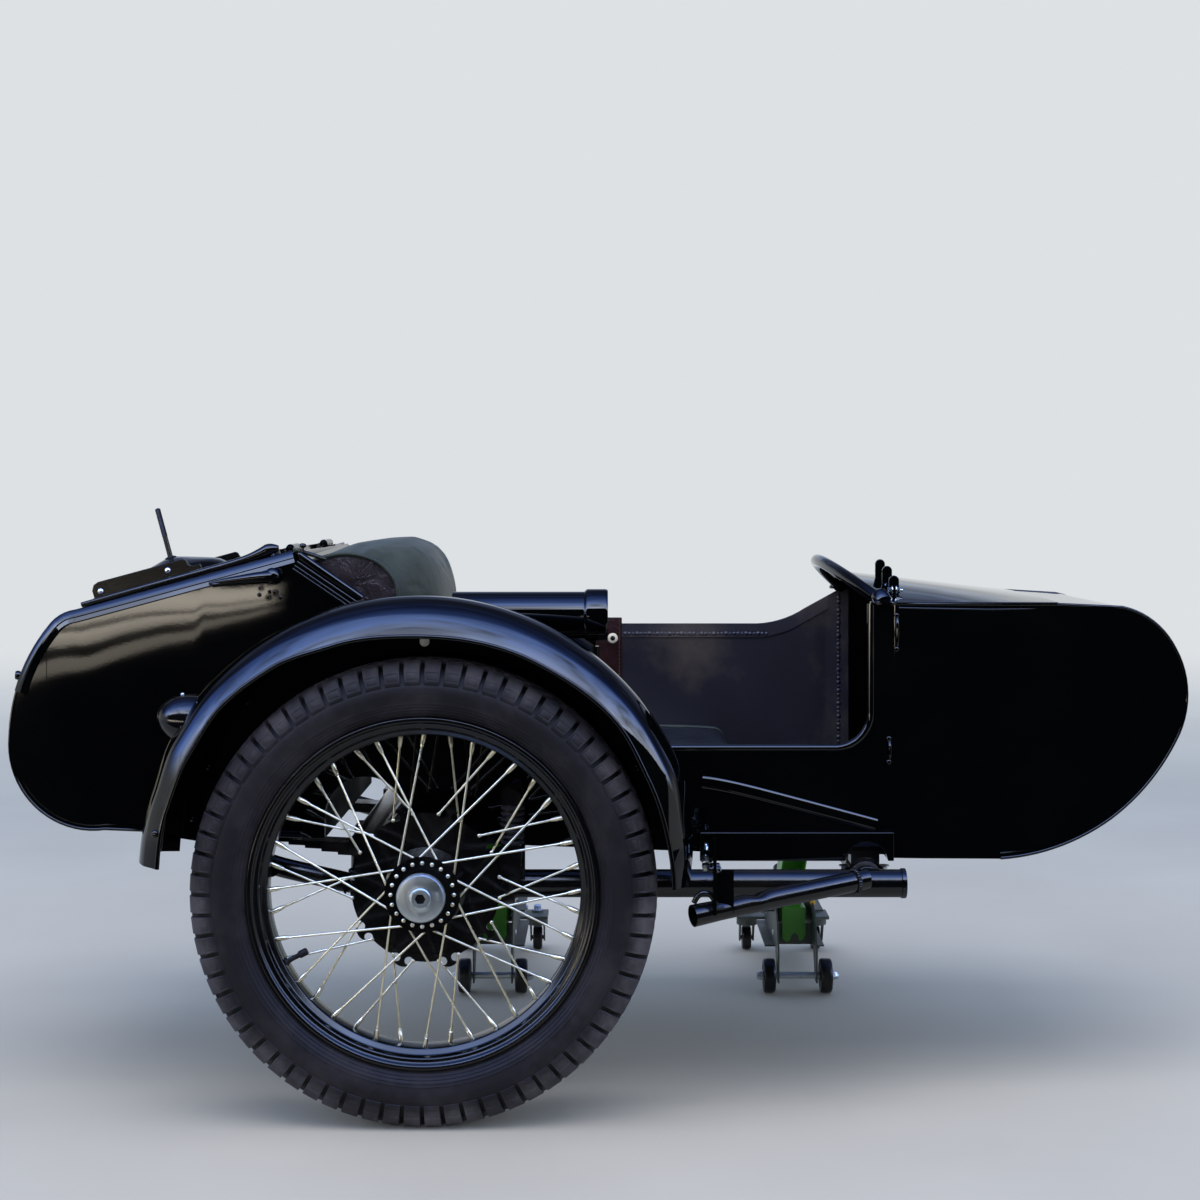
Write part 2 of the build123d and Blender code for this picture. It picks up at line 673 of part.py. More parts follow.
shell = sides + skin - near_cutter - far_cutter
for first_y, last_y in mount_widths:
    shell -= drum(FRONT_CROSS_X, FLOOR_Z, first_y, last_y, FRONT_ARCH_R)
nose_zone = box((TUB_SEAM_X, NOSE_X + PLAN_BEYOND), tub_inside, (0, SKY_Z))
cowl_zone = box((COWL_REAR_X - 80, COWL_FRONT_X), tub_inside, (SEAM_Z - WALL - 1, SKY_Z))
tail_zone = box((TAIL_X - PLAN_BEYOND, TAIL_X + TAIL_CAP), tub_inside, (0, SKY_Z))
flank_zone = box((TAIL_X + TAIL_CAP, TUB_SEAM_X), tub_inside, (0, SKY_Z))
side_zone = flank_zone & side_ring
floor_zone = flank_zone - side_ring
floor_zone &= box((FLOOR_REAR_X, TUB_SEAM_X), tub_inside, (0, TUNNEL_TOP + 10))
boot_zone = box((TAIL_X - PLAN_BEYOND, BOOT_TOP_X), tub_inside, (0, SKY_Z)) - side_zone - floor_zone
right_half = box((TAIL_X - PLAN_BEYOND, NOSE_X + PLAN_BEYOND), (SIDE_Y - 20, MIDDLE_Y), (0, SKY_Z))
left_half = box((TAIL_X - PLAN_BEYOND, NOSE_X + PLAN_BEYOND), (MIDDLE_Y, TUB_LEFT_Y + 20), (0, SKY_Z))
flanks = shell & side_zone
pieces["tub_side_right"] = flanks & right_half
tub_side_left = flanks & left_half
pieces["tub_floor"] = shell & floor_zone
nose_skin_top = cowl_zone & upright(tub_plan_inner, FLOOR_Z, SKY_Z)
pieces["nose_shell"] = (shell & nose_zone) - nose_skin_top
boot_opening = box(
    (LID_REAR_X + LID_OPENING_MARGIN, LID_FRONT_X - LID_OPENING_MARGIN / 2),
    (SIDE_Y + LID_OPENING_MARGIN, TUB_LEFT_Y - LID_OPENING_MARGIN),
    (FLOOR_Z + 260, SKY_Z),
)
pieces["boot_shell"] = (shell & boot_zone) - boot_opening

# Lip band folded along the inner top edge of the far wall
band = across(far_cut, TUB_LEFT_Y - WALL - 2, TUB_LEFT_Y - WALL)
band = (Pos(0, 0, -LIP_BAND) * band) - band
band &= box((COCKPIT_REAR_X + 60, CUT_FRONT_X), tub_inside, (0, SKY_Z))
pieces["tub_side_left"] = tub_side_left + band


def cowl_section(x, half, crown, low):
    """A crowned strip across the tub at one X, as thick as the sheet."""
    plane = Plane(origin=(x, MIDDLE_Y, low), x_dir=(0, 1, 0), z_dir=(1, 0, 0))
    return plane * closed(
        ThreePointArc((-half, WALL), (0, crown + WALL), (half, WALL)),
        Line((half, WALL), (half, 0)),
        ThreePointArc((half, 0), (0, crown), (-half, 0)),
        Line((-half, 0), (-half, WALL)),
    )


# Cowl: the crowned panel over the legs, its edges lipped over the sides
seam_inset = nose_inset * 0.62 * (COWL_FRONT_X - COWL_REAR_X - 20) / (NOSE_X - COWL_REAR_X - 150)
cowl = loft(
    [
        cowl_section(COWL_REAR_X - 12, TUB_WIDTH / 2 + COWL_LIP, CROWN, SEAM_Z),
        cowl_section(COWL_FRONT_X, TUB_WIDTH / 2 - seam_inset + COWL_LIP, 3.0, SEAM_Z - 3),
    ],
    ruled=True,
)
pieces["cowl"] = cowl

# Rolled edge of the entry: a bead along the sill and up to the cowl, another at the rear
bead_y_line = SIDE_Y + WALL / 2
sill_bead = bent_bar(
    [
        (CUT_REAR_X, bead_y_line, ARM_WALL_Z - 12),
        (CUT_REAR_X, bead_y_line, SILL_Z),
        (CUT_FRONT_X, bead_y_line, SILL_Z),
        (CUT_FRONT_X, bead_y_line, SEAM_Z - 0.5),
    ],
    [CUT_CORNER_R, CUT_CORNER_R],
    BEAD_R,
)
rear_bead = bar(
    (BOOT_TOP_X + 6, bead_y_line, BOOT_TOP_Z - 4),
    (COCKPIT_REAR_X, bead_y_line, COCKPIT_REAR_Z),
    BEAD_R,
)
pieces["coaming_tube"] = Compound([sill_bead.solid(), rear_bead.solid()])
pieces["tub_side_right"] = pieces["tub_side_right"] - sill_bead - rear_bead
pieces["cowl"] = pieces["cowl"] - sill_bead

# Bulkhead behind the seat, from the tunnel up to the front edge of the boot top
tunnel_filled = drum(
    TUNNEL_X, TUNNEL_TOP - TUNNEL_HALF, SIDE_Y, TUB_LEFT_Y, TUNNEL_HALF + WALL
)
bulkhead_foot_z = TUNNEL_TOP - TUNNEL_HALF / 2
bulkhead = across(
    make_face(
        Polyline(
            (BOOT_TOP_X, BOOT_TOP_Z),
            (BOOT_TOP_X + WALL, BOOT_TOP_Z),
            (BULKHEAD_FOOT_X + WALL, bulkhead_foot_z),
            (BULKHEAD_FOOT_X, bulkhead_foot_z),
            close=True,
        ).edges()
    ),
    SIDE_Y + WALL,
    TUB_LEFT_Y - WALL,
)
pieces["seat_bulkhead"] = bulkhead - tunnel_filled - pieces["boot_shell"] - rear_bead

# Seat cushion on the floor, and the backrest that leans on the bulkhead
seat_y = (SIDE_Y + SEAT_MARGIN, TUB_LEFT_Y - SEAT_MARGIN)
seat_low = WALL + SOFT_GAP
seat_face = make_face(
    Polyline(
        (SEAT_REAR_X, floor_at(SEAT_REAR_X) + seat_low),
        (SEAT_FRONT_X, floor_at(SEAT_FRONT_X) + seat_low),
        (SEAT_FRONT_X, SEAT_TOP_Z),
        (SEAT_REAR_X, SEAT_TOP_Z),
        close=True,
    ).edges()
)
seat_face = fillet([v for v in seat_face.vertices() if v.Y > SEAT_TOP_Z - 1], 28)
pieces["seat_cushion"] = across(seat_face, *seat_y)
lean = (BOOT_TOP_X - BULKHEAD_FOOT_X) / (BOOT_TOP_Z - bulkhead_foot_z)
back_low_z = SEAT_TOP_Z + SOFT_GAP
back_foot_x = BULKHEAD_FOOT_X + (back_low_z - bulkhead_foot_z) * lean + WALL + 1
back_top_x = BOOT_TOP_X + WALL + 7
back_face = closed(
    Line((back_foot_x, back_low_z), (back_top_x, BOOT_TOP_Z - 12)),
    Line((back_top_x, BOOT_TOP_Z - 12), (back_top_x + 6, BOOT_TOP_Z - 3)),
    ThreePointArc(
        (back_top_x + 6, BOOT_TOP_Z - 3), (-130, BOOT_TOP_Z + 14), (-58, BOOT_TOP_Z + 19)
    ),
    ThreePointArc((-58, BOOT_TOP_Z + 19), (-14, BOOT_TOP_Z - 8), (6, ARMREST_Z + 21)),
    Line((6, ARMREST_Z + 21), (24, SEAT_TOP_Z + 70)),
    Line((24, SEAT_TOP_Z + 70), (26, back_low_z)),
    Line((26, back_low_z), (back_foot_x, back_low_z)),
)
pieces["seat_back"] = across(back_face, *seat_y)

# Trim panel on the far inner wall beside the seat
trim = box(
    (SEAT_REAR_X + 70, TRIM_FRONT_X),
    (TUB_LEFT_Y - WALL - TRIM_THICKNESS, TUB_LEFT_Y - WALL),
    (SEAT_TOP_Z + 12, FAR_RIM_Z - LIP_BAND),
)
pieces["trim_panel"] = trim

# Armrest: an open tube along the top of the near wall, with a collar at its mouth
arm_y = SIDE_Y + WALL / 2


def length_of_tube(x_from, x_to, radius):
    """A round solid whose axis runs forward along the near wall."""
    return bar((x_from, arm_y, ARMREST_Z), (x_to, arm_y, ARMREST_Z), radius)


armrest = length_of_tube(ARMREST_REAR_X, ARMREST_FRONT_X, ARMREST_R)
armrest += length_of_tube(ARMREST_FRONT_X - COLLAR_LENGTH, ARMREST_FRONT_X, COLLAR_R)
armrest -= length_of_tube(ARMREST_REAR_X + ARMREST_WALL, ARMREST_FRONT_X, ARMREST_R - ARMREST_WALL)
armrest -= pieces["tub_side_right"]
pieces["armrest_tube"] = armrest.solids().sort_by(SortBy.VOLUME)[-1]

# Grab handle: a round bar arched over the rear edge of the cowl
handle_foot_y = SIDE_Y + 14
handle_path = ThreePointArc(
    (HANDLE_FOOT_X, handle_foot_y, SEAM_Z),
    (HANDLE_TOP_X, MIDDLE_Y, HANDLE_TOP_Z),
    (HANDLE_FOOT_X, 2 * MIDDLE_Y - handle_foot_y, SEAM_Z),
)
handle = sweep(Plane(origin=handle_path @ 0, z_dir=handle_path % 0) * Circle(HANDLE_R), path=handle_path)
handle = handle - pieces["cowl"] - pieces["tub_side_right"] - pieces["tub_side_left"]
pieces["grab_handle"] = handle.solids().sort_by(SortBy.VOLUME)[-1]

# Upright tabs on the cowl, rounded at the top and drilled
tabs = []
for tab_y in TABS_Y:
    tab = box(
        (TABS_X - TAB_WIDTH / 2, TABS_X + TAB_WIDTH / 2),
        (tab_y - TAB_THICKNESS / 2, tab_y + TAB_THICKNESS / 2),
        (SEAM_Z - 5, SEAM_Z + CROWN + TAB_HEIGHT),
    )
    offset_y = MIDDLE_Y - tab_y
    cowl_top = SEAM_Z + WALL + CROWN * (1 - (2 * offset_y / TUB_WIDTH) ** 2)
    tab &= box((0, NOSE_X), (SIDE_Y, TUB_LEFT_Y), (SEAM_Z - 5, cowl_top + TAB_HEIGHT - TAB_WIDTH / 2))
    tab += drum(
        TABS_X,
        cowl_top + TAB_HEIGHT - TAB_WIDTH / 2,
        tab_y - TAB_THICKNESS / 2,
        tab_y + TAB_THICKNESS / 2,
        TAB_WIDTH / 2,
    )
    cut = tab - pieces["cowl"]
    tabs.append(cut.solids().sort_by(Axis.Z)[-1])
pieces["cowl_tabs"] = Compound(tabs)

# Box rail along the foot of each side, arched over the front mount
rail_arch = drum(FRONT_CROSS_X, FLOOR_Z, SIDE_Y - 30, TUB_LEFT_Y + 30, FRONT_ARCH_R)
rail_x = (RAIL_REAR_X, RAIL_FRONT_X)
rails = [
    box(rail_x, (SIDE_Y - RAIL_DEPTH, SIDE_Y), (FLOOR_Z + 4, RAIL_Z)) - rail_arch,
    box(rail_x, (TUB_LEFT_Y, TUB_LEFT_Y + RAIL_DEPTH), (FLOOR_Z + 4, RAIL_Z)) - rail_arch,
]
pieces["side_rails"] = Compound([rail.solid() for rail in rails])

# Catches: side lever, knob behind the cockpit corner, latch knob at the tail
lever_y = SIDE_Y - 16
lever = drum(LEVER_X, LEVER_Z, lever_y, SIDE_Y, 11)
lever_tip = (LEVER_X - LEVER_LENGTH, lever_y - 2, LEVER_Z - 10)
lever_root = (LEVER_X, lever_y + 3, LEVER_Z)
lever_bar = Plane(origin=lever_root, z_dir=Vector(*lever_tip) - Vector(*lever_root))
lever += loft([lever_bar * Circle(7), lever_bar.offset(LEVER_LENGTH) * Circle(3.5)])
knob = revolve(
    closed(
        Line((0, -3), (0, 12)),
        ThreePointArc((0, 12), (6, 9), (7.5, 4)),
        Polyline((7.5, 4), (4, 1), (4, -3), (0, -3)),
    ),
    axis=Axis.Y,
)
tail_knob = Location((tail_mid.X + 8, MIDDLE_Y, TAIL_KNOB_Z)) * Rot(0, 0, 90) * knob
tail_knob -= across(tub_side, SIDE_Y, TUB_LEFT_Y)
pieces["catches"] = Compound([lever.solid(), tail_knob.solids().sort_by(Axis.X)[0]])

# Boot lid: a shallow tray over the boot opening, worked out along the slope of the boot top
slope = degrees(atan2(BOOT_TOP_Z - BOOT_END_Z, BOOT_TOP_X - BOOT_END_X))
along_slope = Vector(cos(radians(slope)), 0, sin(radians(slope)))
off_slope = Vector(-sin(radians(slope)), 0, cos(radians(slope)))
slope_cos = cos(radians(slope))
slope_place = Location(
    Plane(origin=(BOOT_TOP_X, MIDDLE_Y, BOOT_TOP_Z), x_dir=along_slope, z_dir=off_slope)
)
lid_front = (LID_FRONT_X - BOOT_TOP_X) / slope_cos
lid_rear = (LID_REAR_X - BOOT_TOP_X) / slope_cos
lid_half = TUB_WIDTH / 2 - LID_MARGIN
lid_length = lid_front - lid_rear
hinge_u = lid_front + HINGE_SETBACK
hinge_v = LID_GAP + HINGE_R + 1
lid_top_v = LID_GAP + LID_HEIGHT
tail_half = lid_half - tail_inset * 0.7
lid_outline = make_face(
    Polyline(
        (lid_front, -lid_half),
        (lid_front, lid_half),
        (lid_rear, tail_half),
        (lid_rear, -tail_half),
        close=True,
    ).edges()
)
lid_outline = fillet(lid_outline.vertices(), LID_CORNER_R)
lid = extrude(Plane.XY.offset(LID_GAP) * lid_outline, LID_HEIGHT)
lid -= extrude(Plane.XY.offset(LID_GAP) * offset(lid_outline, -LID_WALL), LID_HEIGHT - LID_WALL)
knuckle_ends = []
for side in (-1, 1):
    middle = side * HINGE_SPAN / 2
    for knuckle in (-1, 1):
        knuckle_y = middle + knuckle * (HINGE_KNUCKLE + 1)
        y_ends = (knuckle_y - HINGE_KNUCKLE / 2, knuckle_y + HINGE_KNUCKLE / 2)
        barrel = bar((hinge_u, y_ends[0], hinge_v), (hinge_u, y_ends[1], hinge_v), HINGE_R)
        leaf = box((lid_front - 1, hinge_u), y_ends, (hinge_v, lid_top_v))
        bore = bar((hinge_u, y_ends[0], hinge_v), (hinge_u, y_ends[1], hinge_v), HINGE_PIN_R + HINGE_CLEAR)
        lid += (barrel + leaf) - bore
pieces["boot_lid"] = slope_place * lid

# Fixed half of each hinge: a knuckle with its pin on a foot riveted to the boot top
hinges = []
pin_half = HINGE_KNUCKLE * 1.5 + 2
for side in (-1, 1):
    middle = side * HINGE_SPAN / 2
    y_ends = (middle - HINGE_KNUCKLE / 2, middle + HINGE_KNUCKLE / 2)
    fixed = bar((hinge_u, y_ends[0], hinge_v), (hinge_u, y_ends[1], hinge_v), HINGE_R)
    fixed += box((hinge_u, hinge_u + 16), y_ends, (0, 3))
    fixed += box((hinge_u - HINGE_R / 2, hinge_u + HINGE_R / 2), y_ends, (0, hinge_v))
    fixed += bar((hinge_u, middle - pin_half, hinge_v), (hinge_u, middle + pin_half, hinge_v), HINGE_PIN_R)
    hinges.append(slope_place * fixed)
pieces["lid_hinges"] = Compound([hinge.solid() for hinge in hinges])

# Spare wheel carrier on the lid: two side plates, a round dish between them and a stud
dish_u = (DISH_X - BOOT_TOP_X) / slope_cos
plate_y = MIDDLE_Y - CARRIER_Y
carrier = []
dish = loft(
    [
        Plane.XY.offset(lid_top_v) * Circle(DISH_R),
        Plane.XY.offset(lid_top_v + DISH_HEIGHT) * Circle(DISH_R - 22),
    ]
)
dish -= extrude(Plane.XY.offset(lid_top_v + DISH_HEIGHT - 4) * Circle(DISH_R - 40), 10)
dish = Pos(dish_u, 0, 0) * dish
plate_profile = make_face(
    Polyline(
        (dish_u - CARRIER_LENGTH / 2, lid_top_v),
        (dish_u + CARRIER_LENGTH / 2, lid_top_v),
        (dish_u + CARRIER_LENGTH / 2, lid_top_v + CARRIER_HEIGHT * 0.55),
        (dish_u + CARRIER_LENGTH / 2 - 24, lid_top_v + CARRIER_HEIGHT),
        (dish_u - CARRIER_LENGTH / 2 + 6, lid_top_v + CARRIER_HEIGHT),
        (dish_u - CARRIER_LENGTH / 2, lid_top_v + CARRIER_HEIGHT - 6),
        close=True,
    ).edges()
)
carrier_solids = [dish]
for side in (-1, 1):
    y_out = side * plate_y
    plate = across(plate_profile, *sorted((y_out, y_out - side * CARRIER_PLATE)))
    foot = box(
        (dish_u - CARRIER_LENGTH / 2, dish_u + CARRIER_LENGTH / 2),
        (min(y_out, y_out - side * CARRIER_FOOT), max(y_out, y_out - side * CARRIER_FOOT)),
        (lid_top_v, lid_top_v + 3),
    )
    carrier_solids.append(plate + foot)
pieces["spare_carrier"] = Compound([(slope_place * solid).solid() for solid in carrier_solids])
stud_foot_v = lid_top_v + DISH_HEIGHT - 4
stud = bar((dish_u, 0, stud_foot_v), (dish_u, 0, stud_foot_v + STUD_LENGTH), STUD_R)
stud += bar((dish_u, 0, stud_foot_v), (dish_u, 0, stud_foot_v + 6), STUD_R + 6)
pieces["spare_stud"] = slope_place * stud

# Chassis: two long tubes joined by cross tubes, with a loop round the back
right_tube = bar((RIGHT_TUBE_REAR_X, RIGHT_TUBE_Y, FRAME_Z), (FRAME_FRONT_X, RIGHT_TUBE_Y, FRAME_Z), TUBE_R)
left_tube = bar((LEFT_TUBE_REAR_X, LEFT_TUBE_Y, FRAME_Z), (FRAME_FRONT_X, LEFT_TUBE_Y, FRAME_Z), TUBE_R)
pieces["frame_right_tube"] = right_tube
pieces["frame_left_tube"] = left_tube
front_cross = bar((FRONT_CROSS_X, RIGHT_TUBE_Y, FRAME_Z), (FRONT_CROSS_X, LEFT_TUBE_Y, FRAME_Z), CROSS_R)
pieces["frame_front_cross"] = front_cross - right_tube - left_tube
rear_cross = bar(
    (REAR_CROSS_X, RIGHT_TUBE_Y - CROSS_R, REAR_CROSS_Z),
    (REAR_CROSS_X, LEFT_TUBE_Y + CROSS_R, REAR_CROSS_Z),
    CROSS_R,
)
for tube_y in (RIGHT_TUBE_Y, LEFT_TUBE_Y):
    rear_cross += post(REAR_CROSS_X, tube_y, FRAME_Z, REAR_CROSS_Z, CROSS_R - 3)
loop_z = floor_at(LOOP_REAR_X) - LOOP_R - 12
rear_loop = bent_bar(
    [
        (RIGHT_TUBE_REAR_X, RIGHT_TUBE_Y, FRAME_Z),
        (LOOP_REAR_X, RIGHT_TUBE_Y, loop_z),
        (LOOP_REAR_X, LEFT_TUBE_Y, loop_z),
        (LEFT_TUBE_REAR_X, LEFT_TUBE_Y, FRAME_Z),
    ],
    [LOOP_BEND_R, LOOP_BEND_R],
    LOOP_R,
)
pieces["frame_rear_loop"] = rear_loop - right_tube - left_tube
pieces["frame_rear_cross"] = rear_cross - right_tube - left_tube - rear_loop

# Outrigger: an open tube from under the fender's front up to the main tube
outrigger = bar(
    (OUTRIGGER_X, OUTRIGGER_Y, OUTRIGGER_Z), (OUTRIGGER_END_X, RIGHT_TUBE_Y, FRAME_Z - 2), OUTRIGGER_R
)
outrigger_bore = bar(
    (OUTRIGGER_X, OUTRIGGER_Y, OUTRIGGER_Z),
    (OUTRIGGER_END_X - 60, RIGHT_TUBE_Y - 28, FRAME_Z - 5),
    OUTRIGGER_R - TUBE_WALL,
)
outrigger -= outrigger_bore
outrigger = (outrigger - right_tube).solids().sort_by(SortBy.VOLUME)[-1]
pieces["outrigger"] = outrigger

# Fender stay: an upright plate from the outrigger to the fender's front end
stay_x = FENDER_X + FENDER_CROWN_R
stay_z = FENDER_Z + FENDER_CROWN_R * sin(radians(FENDER_FRONT))
stay_y = OUTRIGGER_Y + 10
stay_low = OUTRIGGER_Z + (stay_x - OUTRIGGER_X) * (FRAME_Z - OUTRIGGER_Z) / (OUTRIGGER_END_X - OUTRIGGER_X)
stay_back = stay_x + 3
stay_face = stay_back + STAY_PLATE
stay = box((stay_back, stay_face), (stay_y - STAY_HALF, stay_y + STAY_HALF), (stay_low, stay_z + STAY_RISE))
stay += box((stay_back, stay_x + STAY_WEB), (stay_y - 3, stay_y + 3), (stay_low, stay_z + STAY_HALF - 4))
stay += box((stay_x - 14, stay_face), (stay_y - 16, stay_y + 16), (stay_z + STAY_LEDGE_Z, stay_z + STAY_LEDGE_Z + 6))
bolt_rows = (
    # Y from the stay's middle, height above the fender's end
    (-12.0, 22.0),
    (12.0, 22.0),
)
for bolt_y, bolt_z in bolt_rows:
    bolt_at = (stay_y + bolt_y, stay_z + bolt_z)
    stay += bar((stay_x - 2, *bolt_at), (stay_face + 6, *bolt_at), 5)
fender_solid = pieces["fender"]
stay = stay - fender_filled - outrigger - right_tube
pieces["fender_stay"] = stay.solids().sort_by(SortBy.VOLUME)[-1]

# Stay at the back: a flat strap from the loop tube up to the fender's valance
stay_foot_z = FRAME_Z + (loop_z - FRAME_Z) * (RIGHT_TUBE_REAR_X - REAR_STAY_X) / (RIGHT_TUBE_REAR_X - LOOP_REAR_X)
stay_tip_x, stay_tip_z = polar(FENDER_RIM_R - 20, VALANCE_REAR - 7)
stay_ends = Pos(REAR_STAY_X, stay_foot_z) * Circle(14)
stay_ends += Pos(FENDER_X + stay_tip_x, FENDER_Z + stay_tip_z) * Circle(11)
rear_stay = across(make_hull(stay_ends.edges()), FENDER_HALF, RIGHT_TUBE_Y - LOOP_R + 2) - rear_loop
pieces["fender_rear_stay"] = rear_stay.solids().sort_by(SortBy.VOLUME)[-1]

# Trailing arm: a cast lug round the main tube, a flat arm back to the axle, and the axle
trail_y = (HUB_FAR_Y + DRUM_DEPTH + BRAKE_GAP + BRAKE_PLATE, RIGHT_TUBE_Y - TUBE_R)
arm_outer_y = trail_y[0] + ARM_WIDTH
arm_circles = Pos(0, WHEEL_Z) * Circle(ARM_AXLE_R) + Pos(ARM_PIVOT_X, FRAME_Z + 12) * Circle(ARM_PIVOT_R)
arm_circles += Pos(SHOCK_X, SHOCK_LOW_Z - 12) * Circle(14)
arm_plate = across(make_hull(arm_circles.edges()), trail_y[0], arm_outer_y)
arm_lug = bar(
    (ARM_PIVOT_X - 24, RIGHT_TUBE_Y, FRAME_Z), (ARM_PIVOT_X + 24, RIGHT_TUBE_Y, FRAME_Z), TUBE_R + 9
)
arm_lug += drum(ARM_PIVOT_X, FRAME_Z, arm_outer_y, RIGHT_TUBE_Y, 18)
axle = drum(0, WHEEL_Z, HUB_NEAR_Y + AXLE_END_GAP, arm_outer_y + 4, AXLE_R)
axle_nut = across(Pos(0, WHEEL_Z) * RegularPolygon(15, 6), arm_outer_y, arm_outer_y + 2)
swing_arm = arm_plate + arm_lug + axle + axle_nut
swing_arm -= right_tube
pieces["swing_arm"] = swing_arm.solids().sort_by(SortBy.VOLUME)[-1]

# Brake plate: the fixed disc that closes the drum, with its cable lever
plate_y0 = trail_y[0] - BRAKE_PLATE
brake_plate = drum(0, WHEEL_Z, plate_y0, trail_y[0], DRUM_R + 2)
brake_plate -= drum(0, WHEEL_Z, plate_y0, trail_y[0], AXLE_R)
lever_x, lever_z = polar(DRUM_R - 24, 62)
brake_plate += drum(lever_x, WHEEL_Z + lever_z, trail_y[0], trail_y[0] + 14, 9)
brake_plate += box(
    (lever_x - 7, lever_x + 7),
    (trail_y[0] + 8, trail_y[0] + 13),
    (WHEEL_Z + lever_z, WHEEL_Z + lever_z + 52),
)
pieces["brake_plate"] = brake_plate

# Shock absorber: an upright damper in a ribbed boot between the arm and a frame bracket
shock_y = (trail_y[0] + arm_outer_y) / 2
shock = post(SHOCK_X, shock_y, SHOCK_LOW_Z, SHOCK_HIGH_Z, SHOCK_R - 4)
rib_pitch = (SHOCK_HIGH_Z - SHOCK_LOW_Z - 12) / SHOCK_RIBS
for rib in range(SHOCK_RIBS):
    rib_z = SHOCK_LOW_Z + 8 + rib * rib_pitch
    shock += Pos(SHOCK_X, shock_y, rib_z + rib_pitch / 2) * Cylinder(SHOCK_R, rib_pitch * 0.55)
shock += drum(SHOCK_X, SHOCK_HIGH_Z + 10, shock_y - 9, shock_y + 9, 13)
shock += post(SHOCK_X, shock_y, SHOCK_HIGH_Z - 4, SHOCK_HIGH_Z + 8, 8)
bracket_y = (arm_outer_y + 6, arm_outer_y + 12)
shock += drum(SHOCK_X, SHOCK_HIGH_Z + 10, shock_y, bracket_y[1], 6)
shock += box((SHOCK_X - 18, SHOCK_X + 18), bracket_y, (FRAME_Z, SHOCK_HIGH_Z + 10))
shock += drum(SHOCK_X, SHOCK_HIGH_Z + 10, *bracket_y, 18)
shock = shock - right_tube - pieces["swing_arm"]
pieces["shock_absorber"] = shock.solids().sort_by(SortBy.VOLUME)[-1]

# Front mounts: a rubber bush on the front cross tube at each side, strapped to the floor
mounts = []
mount_z = floor_at(FRONT_CROSS_X) + WALL + 1
for first_y in (SIDE_Y + 2, TUB_LEFT_Y - 2 - BUSH_LENGTH):
    last_y = first_y + BUSH_LENGTH
    bush = drum(FRONT_CROSS_X, FRAME_Z, first_y, last_y, BUSH_R)
    bush += box(
        (FRONT_CROSS_X - MOUNT_HALF, FRONT_CROSS_X + MOUNT_HALF),
        (first_y + MOUNT_INSET, last_y - MOUNT_INSET),
        (mount_z, mount_z + MOUNT_PLATE),
    )
    bush += box(
        (FRONT_CROSS_X - MOUNT_NECK_HALF, FRONT_CROSS_X + MOUNT_NECK_HALF),
        (first_y + MOUNT_INSET, last_y - MOUNT_INSET),
        (FRAME_Z, mount_z + MOUNT_PLATE - 2),
    )
    bush = bush - front_cross - pieces["tub_floor"]
    mounts.append(bush.solids().sort_by(SortBy.VOLUME)[-1])
pieces["front_mounts"] = Compound(mounts)

# Rear springs: leaf packs clamped to the rear cross tube, shackled to the boot floor
springs = []
pack_top = REAR_CROSS_Z - CROSS_R - 2
for spring_y in (SIDE_Y + SPRING_INSET, TUB_LEFT_Y - SPRING_INSET):
    pack_y = (spring_y - LEAF_WIDTH / 2, spring_y + LEAF_WIDTH / 2)
    pack = box((REAR_CROSS_X - 26, REAR_CROSS_X + 26), (pack_y[0] - 4, pack_y[1] + 4), (pack_top - 1, REAR_CROSS_Z + 8))
    pack -= rear_cross
    for leaf in range(SPRING_LEAVES):
        leaf_top = pack_top - leaf * LEAF_THICKNESS
        leaf_tip = SPRING_TIP_X + leaf * 26
        rise = (REAR_CROSS_X - leaf_tip) * 0.05
        leaf_face = make_face(
            Polyline(
                (REAR_CROSS_X + 26, leaf_top),
                (REAR_CROSS_X, leaf_top),
                (leaf_tip, leaf_top + rise),
                (leaf_tip, leaf_top + rise - LEAF_THICKNESS),
                (REAR_CROSS_X, leaf_top - LEAF_THICKNESS),
                (REAR_CROSS_X + 26, leaf_top - LEAF_THICKNESS),
                close=True,
            ).edges()
        )
        pack += across(leaf_face, *pack_y)
    shackle_z = pack_top + (REAR_CROSS_X - SPRING_TIP_X) * 0.05
    shackle = across(
        make_face(
            Polyline(
                (SPRING_TIP_X, shackle_z - 2),
                (SPRING_TIP_X + 26, shackle_z - 3),
                (SPRING_TIP_X + 26, floor_at(SPRING_TIP_X + 26)),
                (SPRING_TIP_X, floor_at(SPRING_TIP_X)),
                close=True,
            ).edges()
        ),
        pack_y[0] + 6,
        pack_y[1] - 6,
    )
    pack += shackle
    springs.append(pack.solids().sort_by(SortBy.VOLUME)[-1])
pieces["leaf_springs"] = Compound(springs)

